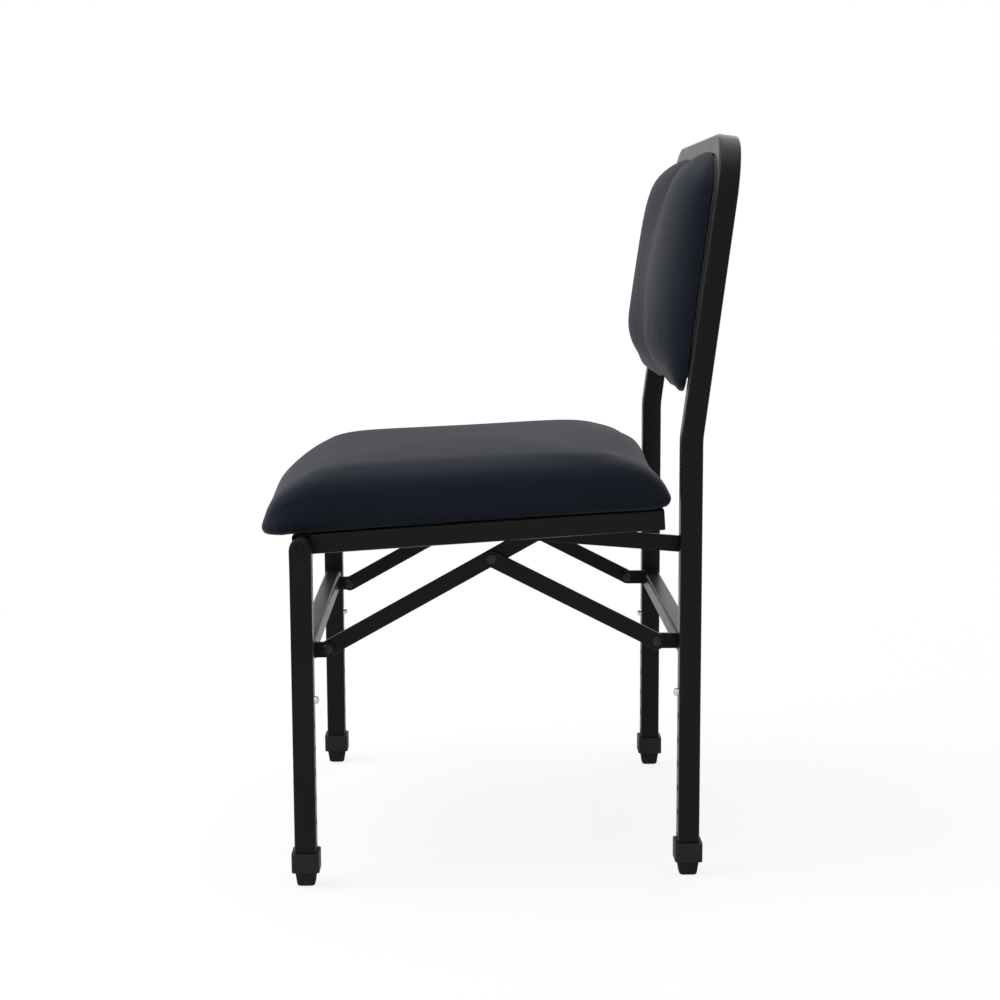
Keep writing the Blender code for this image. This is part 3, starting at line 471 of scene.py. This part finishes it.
@contextmanager
def editing(piece):
    """Edit mode with everything selected."""
    choose(piece)
    bpy.ops.object.mode_set(mode="EDIT")
    bpy.ops.mesh.select_all(action="SELECT")
    yield
    bpy.ops.object.mode_set(mode="OBJECT")


def put(name, data):
    """A new object in the scene."""
    item = bpy.data.objects.new(name, data)
    bpy.context.scene.collection.objects.link(item)
    return item


def drawn(name, points, closed=True):
    """A line of edges through points."""
    count = len(points)
    lines = [(index, (index + 1) % count) for index in range(count if closed else count - 1)]
    mesh = bpy.data.meshes.new(name)
    mesh.from_pydata(points, lines, [])
    return put(name, mesh)


def joined(*items):
    """One object out of several, with the first one's name."""
    choose(*items[1:], items[0])
    bpy.ops.object.join()
    return items[0]


def apply_all(piece):
    """Apply the modifiers of a piece, in their order."""
    choose(piece)
    for modifier in list(piece.modifiers):
        bpy.ops.object.modifier_apply(modifier=modifier.name)


def face_outwards():
    """Select all in edit mode and point the faces outwards."""
    bpy.ops.mesh.select_all(action="SELECT")
    bpy.ops.mesh.normals_make_consistent(inside=False)


def clean_up(piece, sharp):
    """Merge doubles, point the faces outwards and smooth all but the sharp edges."""
    with editing(piece):
        bpy.ops.mesh.remove_doubles(threshold=DOUBLE)
        bpy.ops.mesh.normals_make_consistent(inside=False)
    bpy.ops.object.shade_smooth_by_angle(angle=math.radians(sharp))


def fit_out(piece, finish, slot, body, *stands_for):
    """The finish and the body of a finished piece; its slot is not used."""
    piece.data.materials.clear()
    piece.data.materials.append(finishes[finish])
    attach(piece, body)
    if stands_for:
        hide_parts(*stands_for)


def corners(points):
    """Lowest and highest corners of the box round some points."""
    low = [min(point[axis] for point in points) for axis in range(3)]
    high = [max(point[axis] for point in points) for axis in range(3)]
    return low, high


def facing(axis):
    """The turn that points Z along an axis."""
    return Vector(axis).to_track_quat("Z", "Y").to_matrix().to_4x4()


def square_section(width, height, radius, steps):
    """Points round a square section with round corners, anticlockwise."""
    points = []
    for turn, (right, up) in enumerate(((1, -1), (1, 1), (-1, 1), (-1, -1))):
        centre = Vector((right * (width / 2 - radius), up * (height / 2 - radius), 0))
        for step in range(steps + 1):
            angle = math.radians(-90 + 90 * turn + 90 * step / steps)
            points.append(centre + radius * Vector((math.cos(angle), math.sin(angle), 0)))
    return points


def pull(move):
    """Extrude what is selected along a move."""
    bpy.ops.mesh.extrude_region_move(TRANSFORM_OT_translate={"value": move})


def bend(centre, axis, angle, steps):
    """Carry what is selected round a bend."""
    bpy.ops.mesh.spin(steps=steps, angle=-angle, center=centre, axis=axis)


def walled(piece, thickness, offset):
    """Give a sheet its thickness: inwards at offset -1, to both sides at 0."""
    wall = piece.modifiers.new("wall", "SOLIDIFY")
    wall.thickness = thickness
    wall.offset = offset
    apply_all(piece)


def round_edges(piece, width, segments, turn):
    """A bevel on the edges that turn by more than some degrees."""
    edge = piece.modifiers.new("edge", "BEVEL")
    edge.width = width
    edge.segments = segments
    edge.limit_method = "ANGLE"
    edge.angle_limit = math.radians(turn)


def turned(name, profile):
    """A turned piece about Z from (radius, height) points, its ends on the axis."""
    piece = drawn(name, [Vector((radius, 0, height)) for radius, height in profile], closed=False)
    with editing(piece):
        bpy.ops.mesh.spin(steps=TURN_STEPS, angle=2 * math.pi, center=(0, 0, 0), axis=(0, 0, 1))
    clean_up(piece, SHARP_TURNED)
    return piece


def dome(radius, height, base):
    """Profile of a domed head from its crown down to its rim."""
    turns = [math.pi / 2 * step / DOME_STEPS for step in range(DOME_STEPS + 1)]
    return [(radius * math.sin(turn), base + height * math.cos(turn)) for turn in turns]


def taken_out(piece, *tools):
    """Cut tools out of a piece."""
    tool = joined(*tools)
    change = piece.modifiers.new("cut", "BOOLEAN")
    change.operation = "DIFFERENCE"
    change.object = tool
    apply_all(piece)
    bpy.data.objects.remove(tool, do_unlink=True)


def hole_cutter(place, radius, depth, turn):
    """A round tool for a hole."""
    bpy.ops.mesh.primitive_cylinder_add(vertices=HOLE_SIDES, radius=radius, depth=depth,
                                        location=place, rotation=turn)
    bpy.ops.object.transform_apply(location=True, rotation=True, scale=True)
    return bpy.context.object


def block(size):
    """A square-edged block about the origin."""
    bpy.ops.mesh.primitive_cube_add(size=1, scale=size)
    bpy.ops.object.transform_apply(location=True, rotation=True, scale=True)
    return bpy.context.object


def back_tube():
    """One tube bent into the rear legs and the back's loop, with its button holes, studs and tabs."""
    foot = Vector((REAR_X, REAR_Y, LEG_END))
    section = [foot + point for point in square_section(TUBE, TUBE, TUBE_CORNER, steps=5)]
    tube = drawn("back_tube", section)
    across = Vector((1, 0, 0))
    up = BACK.to_3x3() @ Vector((0, 1, 0))
    ahead = BACK.to_3x3() @ Vector((0, 0, 1))
    ease = RECLINE_BEND * math.tan(RECLINE / 2)
    low_rise = RECLINE_START - ease - LEG_END
    high_rise = (TOP_BAR_Z - RECLINE_START) / math.cos(RECLINE) - ease - TOP_BEND
    top_run = across * -2 * (REAR_X - TOP_BEND)
    low_centre = Vector((0, REAR_Y + RECLINE_BEND, RECLINE_START - ease))
    shoulder = Vector((REAR_X, REAR_Y, RECLINE_START)) + up * (high_rise + ease)
    high_centre = shoulder - across * TOP_BEND
    with editing(tube):
        pull((0, 0, low_rise))
        bend(low_centre, across, -RECLINE, RECLINE_STEPS)
        pull(up * high_rise)
        bend(high_centre, ahead, math.pi / 2, TOP_STEPS)
        pull(top_run)
        bend(high_centre + top_run, ahead, math.pi / 2, TOP_STEPS)
        pull(up * -high_rise)
        bend(low_centre, across, RECLINE, RECLINE_STEPS)
        pull((0, 0, -low_rise))
        face_outwards()
    walled(tube, TUBE_WALL, -1)
    face = REAR_Y - TUBE / 2
    holes = [hole_cutter((side * REAR_X, face, HOLE_TOP - row * HOLE_PITCH), HOLE_RADIUS, 4 * TUBE_WALL,
                         (math.pi / 2, 0, 0)) for _, side in SIDES for row in range(HOLE_COUNT)]
    taken_out(tube, *holes)
    tube = joined(tube, *hinge_studs(), *back_tabs())
    clean_up(tube, SHARP_TUBE)
    fit_out(tube, "paint", "black_paint", "rear_frame", "back_frame")


def hinge_studs():
    """A flanged stud with a domed head, on the inner side of each upright."""
    profile = dome(RIVET_HEAD, RIVET_DOME, STUD_NECK)
    profile += [(RIVET, STUD_NECK), (RIVET, STUD_FLANGE), (RIVET_HEAD, STUD_FLANGE)]
    profile += [(RIVET_HEAD, -STUD_FLANGE), (0, -STUD_FLANGE)]
    studs = []
    for _, side in SIDES:
        stud = turned("hinge_stud", profile)
        stud.data.transform(Matrix.Translation((side * REAR_INNER_X, *HINGE)) @ facing((-side, 0, 0)))
        studs.append(stud)
    return studs


def back_tabs():
    """Rounded plates welded behind the panel, each with its screw hole."""
    reach, height, thickness = TAB
    rear = Vector((0, 0, TAB_BACK))
    plate = drawn("back_tab", [rear + point for point in square_section(reach, height, TAB_CORNER, steps=5)])
    with editing(plate):
        bpy.ops.mesh.edge_face_add()
        pull((0, 0, thickness))
        face_outwards()
        bpy.ops.mesh.bevel(offset=TAB_EDGE, segments=2, affect="EDGES")
    taken_out(plate, hole_cutter(rear, TAB_HOLE, 4 * thickness, (0, 0, 0)))
    tabs = []
    for _, side in SIDES:
        for row in TAB_ROWS:
            tab = put("back_tab", plate.data.copy())
            tab.data.transform(BACK @ Matrix.Translation((side * TAB_X, row, 0)))
            tabs.append(tab)
    bpy.data.objects.remove(plate, do_unlink=True)
    return tabs


def node_end(node, axis):
    """The place of a CAD node's end along an axis, turned so that Z runs out of it."""
    turn = facing(axis)
    low, high = corners([turn.inverted() @ vertex.co for vertex in nodes[node].data.vertices])
    return turn @ Matrix.Translation(((low[0] + high[0]) / 2, (low[1] + high[1]) / 2, high[2]))


def put_copies(master, finish, slot, places):
    """Copies of one modelled fastener in the places of CAD nodes, heads at their ends along an axis."""
    for node, axis, body in places:
        mesh = master.data.copy()
        mesh.transform(node_end(node, axis))
        fit_out(put(node + "_made", mesh), finish, slot, body, node)
    bpy.data.objects.remove(master, do_unlink=True)


def rivets():
    """Rivets with a domed head at both ends."""
    neck = RIVET_DOME + FIT
    head = dome(RIVET_HEAD, RIVET_DOME, -RIVET_DOME) + [(RIVET, -RIVET_DOME), (RIVET, -neck)]
    tail = [(radius, -RIVET_LENGTH - height) for radius, height in reversed(head)]
    places = [(name + label, (side, 0, 0), body) for name, body in RIVET_ROWS for label, side in SIDES]
    put_copies(turned("rivet", head + tail), "blackened", "dark_steel", places)


def screws():
    """Pan-head screws with a cross recess, in the back's tabs and the seat's rails."""
    profile = dome(SCREW_HEAD, SCREW_DOME, -SCREW_DOME)
    profile += [(SCREW_SHANK, -SCREW_DOME), (SCREW_SHANK, -SCREW_LENGTH), (0, -SCREW_LENGTH)]
    master = turned("screw", profile)
    reach, width, depth = SCREW_RECESS
    for size in ((reach, width, depth), (width, reach, depth)):
        taken_out(master, block(size))
    clean_up(master, SHARP_TURNED)
    behind = BACK.to_3x3() @ Vector((0, 0, -1))
    below = SEAT.to_3x3() @ Vector((0, 0, -1))
    places = [("back_screw_" + row + "_" + label, behind, "rear_frame")
              for row in ("lower", "upper") for label, _ in SIDES]
    places += [("seat_screw_" + spot, below, "seat") for spot in ("front", "rear_left", "rear_right")]
    put_copies(master, "blackened", "dark_steel", places)


def snap_buttons():
    """Domed buttons on a flange, in the four legs."""
    foot = -BUTTON_LENGTH - BUTTON_RIM
    profile = dome(BUTTON, BUTTON_DOME, -BUTTON_DOME) + [(BUTTON, -BUTTON_LENGTH)]
    profile += [(BUTTON_FLANGE, -BUTTON_LENGTH), (BUTTON_FLANGE, foot), (0, foot)]
    names = [("snap_button_" + row + "_" + label, way) for row, way in BUTTON_ROWS for label, _ in SIDES]
    places = [(name, (0, way, 0), name) for name, way in names]
    put_copies(turned("snap_button", profile), "bright", "bright_steel", places)


def spring_line(low, high):
    """The line of a bent strip between two corners: up one leg, round the bend and down the other."""
    radius = (high.y - low.y - SPRING_THICKNESS) / 2
    middle = (low.y + high.y) / 2
    bend_z = high.z - SPRING_THICKNESS / 2 - radius
    line = [Vector((low.x, middle + radius, low.z))]
    for step in range(SPRING_STEPS + 1):
        turn = math.pi * step / SPRING_STEPS
        line.append(Vector((low.x, middle + radius * math.cos(turn), bend_z + radius * math.sin(turn))))
    line.append(Vector((low.x, middle - radius, low.z)))
    return line


def button_spring(name):
    """A bent strip behind a button, which gives way as the button goes in."""
    low, high = [Vector(corner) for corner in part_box("button_spring_" + name)]
    strip = drawn("button_spring_" + name + "_made", spring_line(low, high), closed=False)
    with editing(strip):
        pull((high.x - low.x, 0, 0))
        face_outwards()
    walled(strip, SPRING_THICKNESS, 0)
    clean_up(strip, SHARP_TURNED)
    fit_out(strip, "bright", "bright_steel", "inner_leg_" + name, "button_spring_" + name)
    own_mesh(strip)


def button_springs():
    """The springs of the four legs."""
    for row, way in BUTTON_ROWS:
        for label, _ in SIDES:
            button_spring(row + "_" + label)


def weld_bead(name, ring, body):
    """A rope of small ripples along a closed line where two pieces are welded."""
    curve = bpy.data.curves.new(name, "CURVE")
    curve.dimensions = "3D"
    line = curve.splines.new("POLY")
    line.points.add(len(ring) - 1)
    for point, place in zip(line.points, ring):
        point.co = (*place, 1)
    line.use_cyclic_u = True
    curve.bevel_depth = WELD_RADIUS
    curve.bevel_resolution = 2
    choose(put(name, curve))
    bpy.ops.object.convert(target="MESH")
    piece = bpy.context.object
    for vertex in piece.data.vertices:
        vertex.co += vertex.normal * WELD_RIPPLE * noise.noise(vertex.co * WELD_RIPPLES)
    clean_up(piece, SHARP_WELD)
    fit_out(piece, "paint", "black_paint", body)


def dense(points, pitch):
    """A closed line with points added at an even pitch."""
    line = []
    for start, end in zip(points, points[1:] + points[:1]):
        count = max(1, round((end - start).length / pitch))
        line += [start.lerp(end, step / count) for step in range(count)]
    return line


def weld_beads():
    """Beads round the ends of the stretchers and the feet of their brackets."""
    ends = (("rear_weld_", "rear_frame", REAR_INNER_X, REAR_Y),
            ("front_weld_", "front_frame", FRONT_INNER_X, FRONT_Y))
    for name, body, reach, y in ends:
        for label, side in SIDES:
            flat = square_section(CROSS_TUBE, CROSS_TUBE, CROSS_CORNER, steps=4)
            x = side * (reach - WELD_SINK)
            ring = [Vector((x, y + point.x, STRETCHER_Z + point.y)) for point in flat]
            weld_bead(name + label, dense(ring, WELD_PITCH), body)
    for name, body, (x, y, z) in BRACKETS:
        for label, side in SIDES:
            flat = square_section(BAR, BRACKET_HEIGHT, BRACKET_CORNER, steps=2)
            ring = [Vector((side * x + point.x, y, z + point.y)) for point in flat]
            weld_bead(name + "weld_" + label, dense(ring, WELD_PITCH), body)


def soft_copy(node, name):
    """A copy of a soft solid's mesh, its loose triangles joined, as the start of an upholstered piece."""
    piece = put(name, nodes[node].data.copy())
    with editing(piece):
        bpy.ops.mesh.customdata_custom_splitnormals_clear()
        bpy.ops.mesh.remove_doubles(threshold=LOOSE)
        bpy.ops.mesh.normals_make_consistent(inside=False)
    return piece


def remeshed(piece, size):
    """An even mesh of small squares over the same shape."""
    change = piece.modifiers.new("remesh", "REMESH")
    change.mode = "VOXEL"
    change.voxel_size = size
    apply_all(piece)


def ease_free(piece, held, repeats):
    """Smooth out the facets of the points that aren't held."""
    for vertex in piece.data.vertices:
        vertex.select = not held(vertex.co)
    choose(piece)
    bpy.ops.object.mode_set(mode="EDIT")
    bpy.ops.mesh.select_mode(type="VERT")
    bpy.ops.mesh.vertices_smooth(factor=0.5, repeat=repeats)
    bpy.ops.object.mode_set(mode="OBJECT")


def inflated(piece, held, most):
    """Blow the cover up like a stuffed one: held points stay, the rest swell as far as their place allows."""
    free = [vertex.index for vertex in piece.data.vertices if not held(vertex.co)]
    normals = [vertex.normal.copy() for vertex in piece.data.vertices]
    for index in free:
        piece.data.vertices[index].co -= normals[index] * COVER_SHRINK
    start = [vertex.co.copy() for vertex in piece.data.vertices]
    pins = piece.vertex_groups.new(name="pins")
    pins.add(sorted(set(range(len(start))) - set(free)), 1.0, "REPLACE")
    cloth = piece.modifiers.new("cloth", "CLOTH")
    cloth.settings.vertex_group_mass = "pins"
    cloth.settings.use_pressure = True
    cloth.settings.uniform_pressure_force = COVER_PRESSURE
    cloth.settings.effector_weights.gravity = 0
    cloth.settings.bending_stiffness = COVER_STIFFNESS
    cloth.point_cache.frame_start = 1
    cloth.point_cache.frame_end = SWELL_STEPS
    for step in range(1, SWELL_STEPS + 1):
        bpy.context.scene.frame_set(step)
    apply_all(piece)
    for vertex, base, normal in zip(piece.data.vertices, start, normals):
        swell = (vertex.co - base).dot(normal)
        vertex.co = base + normal * max(-SINK, min(most(base, normal), swell))
    bpy.context.scene.frame_set(1)
    piece.vertex_groups.clear()


def refined(piece):
    """One subdivision, smooth all over."""
    change = piece.modifiers.new("refine", "SUBSURF")
    change.levels = 1
    change.render_levels = 1
    apply_all(piece)
    bpy.ops.object.shade_smooth()


def trimmed(piece, place, normal):
    """Cut a piece off flat behind a plane and close it there."""
    with editing(piece):
        bpy.ops.mesh.bisect(plane_co=place, plane_no=normal, use_fill=True, clear_inner=True)


def pressed(piece, place, path, width, depth):
    """Press a soft crease along a path given in the piece's own frame."""
    line = [place @ Vector(point) for point in path]
    reach = 3 * width
    low, high = corners(line)
    for vertex in piece.data.vertices:
        if all(low[axis] - reach < vertex.co[axis] < high[axis] + reach for axis in range(3)):
            near = reach
            for start, end in zip(line, line[1:]):
                _, share = geometry.intersect_point_line(vertex.co, start, end)
                spot = start.lerp(end, min(1.0, max(0.0, share)))
                near = min(near, (vertex.co - spot).length)
            vertex.co -= vertex.normal * depth * math.exp(-(near / width) ** 2)


def mapped(piece):
    """A map of the cover in metres, thread by thread, from the side that each face looks to."""
    piece.data.uv_layers.new(name=COVER_MAP)
    with editing(piece):
        bpy.ops.uv.cube_project(cube_size=1.0, correct_aspect=False)


def plumped(piece, place, spots):
    """Push the stuffing round some spots of the piece's own frame."""
    inward = place.inverted()
    turn = place.to_3x3()
    for vertex in piece.data.vertices:
        spot = inward @ vertex.co
        for centre, push, spread in spots:
            away = sum(((spot[axis] - centre[axis]) / spread[axis]) ** 2 for axis in range(3))
            if away < PLUMP_END:
                vertex.co += turn @ Vector(push) * math.exp(-away)


def on_side(side, point):
    """A point or push of the left side, or its mirror image on the right."""
    return (side * point[0], *point[1:])


def stuffed(piece, place, side_spots, middle_spots):
    """Push the stuffing of both sides, and then of the middle."""
    for _, side in SIDES:
        plumped(piece, place, [(on_side(side, centre), on_side(side, push), spread)
                               for centre, push, spread in side_spots])
    plumped(piece, place, middle_spots)


def hem_strip(name, front, rear):
    """The cover's edge, turned under the board and drawn flat, with a folded, wavy lip."""
    bpy.ops.mesh.primitive_grid_add(x_subdivisions=HEM_GRID[0], y_subdivisions=HEM_GRID[1], size=1)
    strip = bpy.context.object
    strip.name = name
    depth = rear - front
    for vertex in strip.data.vertices:
        x = vertex.co.x * 2 * HEM_HALF
        share = vertex.co.y + 0.5
        creep = noise.noise(HEM_CREEP_PACE * Vector((x, share, front)))
        wave = HEM_WAVE * math.sin(x * HEM_WAVE_PACE) + HEM_CREEP * creep
        ripple = HEM_RIPPLE * math.sin(x * HEM_RIPPLE_PACE + share * HEM_RIPPLE_LEAN)
        y = front + depth * share + wave * (1 - share)
        vertex.co = SEAT @ Vector((x, y, SEAT_BOARD_BOTTOM - HEM_DROP - ripple))
    walled(strip, HEM_CLOTH, 0)
    return strip


def staples(name):
    """Bent wire staples in rows along the hems, each a little askew."""
    master = block(STAPLE)
    with editing(master):
        bpy.ops.mesh.bevel(offset=STAPLE_EDGE, segments=2, affect="EDGES")
    made = []
    for along, count in STAPLE_ROWS:
        for index in range(count):
            across = STAPLE_REACH * (2 * index / (count - 1) - 1)
            turn = STAPLE_SKEW * noise.noise(Vector((index * 1.7, along * 50, 0.3)))
            copy = put(name, master.data.copy())
            place = Matrix.Translation((across, along, SEAT_BOARD_BOTTOM - STAPLE_DROP))
            copy.data.transform(SEAT @ place @ Matrix.Rotation(turn, 4, "Z"))
            made.append(copy)
    bpy.data.objects.remove(master, do_unlink=True)
    row = joined(*made)
    row.name = name
    fit_out(row, "bright", "bright_steel", "seat")


def seat_cushion():
    """The stuffed seat with its creases, its cover drawn under the board and stapled."""
    piece = soft_copy("seat_cushion", "cushion_cover")
    remeshed(piece, SEAT_VOXEL)
    inward = SEAT.inverted()

    def held(place):
        return (inward @ place).z < SEAT_HOLD

    def most(place, normal):
        """The middle of the front is stuffed fullest, then the sides."""
        looks = inward.to_3x3() @ normal
        middle = max(0.0, 1 - (place.x / SWELL_REACH) ** 2)
        return SWELL + SWELL_FRONT * middle * max(0.0, -looks.y) + SWELL_SIDE * abs(looks.x)

    ease_free(piece, held, 3)
    inflated(piece, held, most)
    ease_free(piece, held, 10)
    stuffed(piece, SEAT, SEAT_SIDE_SPOTS, SEAT_MIDDLE_SPOTS)
    ease_free(piece, held, 6)
    refined(piece)
    for _, side in SIDES:
        for path, width, depth in SEAT_CREASES:
            pressed(piece, SEAT, [on_side(side, point) for point in path], width, depth)
    piece = joined(piece, hem_strip("front_hem", *FRONT_HEM), hem_strip("rear_hem", *REAR_HEM))
    mapped(piece)
    fit_out(piece, "cloth", "fabric", "seat", "seat_cushion")
    staples("hem_staples")


def back_panel():
    """The covered board inside the loop: it follows the tube's bends, and its cloth is hemmed at the rear."""
    inward = BACK.inverted()
    low, high = corners([inward @ vertex.co for vertex in nodes["back_panel"].data.vertices])
    low[1] += PANEL_TUCK
    high[1] += 2 * FIT + PANEL_PRESS
    half = REAR_INNER_X + PANEL_PRESS
    flat = square_section(2 * half, high[1] - low[1], half - REAR_X + TOP_BEND, steps=12)
    middle = Vector((0, (low[1] + high[1]) / 2, high[2]))
    board = drawn("panel_cover", [point + middle for point in flat])
    with editing(board):
        bpy.ops.mesh.edge_face_add()
        pull((0, 0, low[2] - high[2]))
        bpy.ops.mesh.inset(thickness=PANEL_HEM, depth=0)
        bpy.ops.mesh.inset(thickness=2 * PANEL_HEM_STEP, depth=-PANEL_HEM_STEP)
        face_outwards()
    round_edges(board, PANEL_EDGE, segments=3, turn=60)
    apply_all(board)
    board.data.transform(BACK)
    clean_up(board, SHARP_TUBE)
    fit_out(board, "backing", "fabric", "rear_frame", "back_panel")


def back_pad():
    """The stuffed pad of two lobes, flat behind where it lies on the panel and the tube."""
    piece = soft_copy("back_pad", "back_cover")
    inward = BACK.inverted()
    ahead = BACK.to_3x3() @ Vector((0, 0, 1))
    for vertex in piece.data.vertices:
        if (inward @ vertex.co).z < PAD_REAR:
            vertex.co -= ahead * PAD_SPARE
    remeshed(piece, PAD_VOXEL)

    def held(place):
        return (inward @ place).z < PAD_HOLD

    def most(place, normal):
        """The pad is stuffed evenly."""
        return SWELL

    stuffed(piece, BACK, PAD_SIDE_SPOTS, PAD_MIDDLE_SPOTS)
    ease_free(piece, held, 3)
    inflated(piece, held, most)
    ease_free(piece, held, 4)
    refined(piece)
    trimmed(piece, BACK @ Vector((0, 0, FIT)), ahead)
    mapped(piece)
    fit_out(piece, "cloth", "fabric", "rear_frame", "back_pad")


def finish_of(name):
    """The finish of a CAD node, by the piece that it is."""
    if "rivet" in name or "screw" in name:
        return "blackened"
    if name.startswith("snap_button") or name.startswith("button_spring"):
        return "bright"
    if "collar" in name:
        return "plastic"
    if name.startswith("rubber_tip"):
        return "rubber"
    if name == "seat_board":
        return "board"
    if name == "back_panel":
        return "backing"
    return "paint"


def dress_nodes():
    """The finish of every CAD node."""
    for name, item in nodes.items():
        item.data.materials.clear()
        item.data.materials.append(finishes[finish_of(name)])


def soften_edges():
    """A small rounded edge on the flat bars, tubes and mouldings, so that their edges catch the light."""
    for item in nodes.values():
        if item.hide_render:
            continue
        weld = item.modifiers.new("weld", "WELD")
        weld.merge_threshold = LOOSE
        round_edges(item, SOFT_EDGE, segments=2, turn=SOFT_EDGE_TURN)
        smooth = item.modifiers.new("smooth", "WEIGHTED_NORMAL")
        smooth.keep_sharp = True


def photo_camera():
    """The camera at the photograph's place: level with the back, from the sitter's left."""
    camera = put("camera", bpy.data.cameras.new("camera"))
    camera.data.lens = CAMERA_LENS
    camera.data.sensor_width = CAMERA_SENSOR
    heading = Matrix.Rotation(CAMERA_HEADING, 4, "Z")
    tilt = Matrix.Rotation(CAMERA_TILT, 4, "X")
    roll = Matrix.Rotation(CAMERA_ROLL, 4, "Z")
    camera.matrix_world = Matrix.Translation(CAMERA_PLACE) @ heading @ tilt @ roll
    bpy.context.scene.camera = camera


def shown_rays(tree):
    """1 for rays from the camera, from gloss and through glass, 0 for light."""
    rays = [tree.add("ShaderNodeLightPath", out=name)
            for name in ("Is Camera Ray", "Is Glossy Ray", "Is Transmission Ray")]
    return rays[0].math("MAXIMUM", rays[1]).math("MAXIMUM", rays[2])


def white_sky():
    """A sky that shows white and gives a part of the light."""
    world = bpy.data.worlds.new("studio")
    bpy.context.scene.world = world
    tree = Tree(world)
    shown = shown_rays(tree)
    strength = shown + (1 - shown) * SKY_LIGHT
    sky = tree.add("ShaderNodeBackground", {}, {"Color": WHITE, "Strength": strength})
    tree.add("ShaderNodeOutputWorld", {}, [sky])


def soft_lamps():
    """Wide lamps that face the chair."""
    for name, place, size, power in LAMPS:
        lamp = put(name, bpy.data.lights.new(name, "AREA"))
        lamp.data.size = size
        lamp.data.energy = power
        lamp.location = place
        lamp.rotation_euler = (LAMP_AIM - lamp.location).to_track_quat("-Z", "Y").to_euler()


def pale_floor():
    """A floor that keeps the chair's shadow near it, shows white further off, and is clear from below."""
    bpy.ops.object.select_all(action="DESELECT")
    bpy.ops.mesh.primitive_plane_add(size=FLOOR_SIZE, location=(0, 0, -FLOOR_DROP))
    floor = bpy.context.object
    floor.name = "floor"
    tree = finish_tree("pale_floor")
    shown = shown_rays(tree)
    pale = tree.add("ShaderNodeBsdfDiffuse", {}, {"Color": (0.88, 0.88, 0.88, 1)})
    white = tree.add("ShaderNodeEmission", {}, {"Color": WHITE, "Strength": 1.0})
    away = tree.add("ShaderNodeVectorMath", {"operation": "LENGTH"}, [tree.place()], out="Value")
    bare = tree.ramp(away * 0.5, (0.25, 0.85), (0.75, 1.0))
    mixed = tree.add("ShaderNodeMixShader", {}, {0: shown * bare, 1: pale, 2: white})
    under = tree.add("ShaderNodeNewGeometry", out="Backfacing")
    clear = tree.add("ShaderNodeBsdfTransparent")
    seen = tree.add("ShaderNodeMixShader", {}, {0: under, 1: mixed, 2: clear})
    tree.add("ShaderNodeOutputMaterial", {}, [seen])
    floor.data.materials.append(tree.owner)


def studio():
    """Plain soft light round the chair."""
    white_sky()
    soft_lamps()
    pale_floor()
    bpy.context.scene.view_settings.view_transform = "Standard"


finishes = {
    "paint": black_paint(),
    "plastic": moulded_plastic(),
    "rubber": foot_rubber(),
    "cloth": woven_cloth("navy_cloth", NAVY, on_map=True),
    "bright": bright_steel(),
    "blackened": blackened_steel(),
    "board": dark_board(),
    "backing": woven_cloth("backing_cloth", BACKING, on_map=False),
}
dress_nodes()
back_tube()
rivets()
screws()
snap_buttons()
button_springs()
weld_beads()
seat_cushion()
back_panel()
back_pad()
soften_edges()
photo_camera()
studio()

bpy.context.view_layer.update()
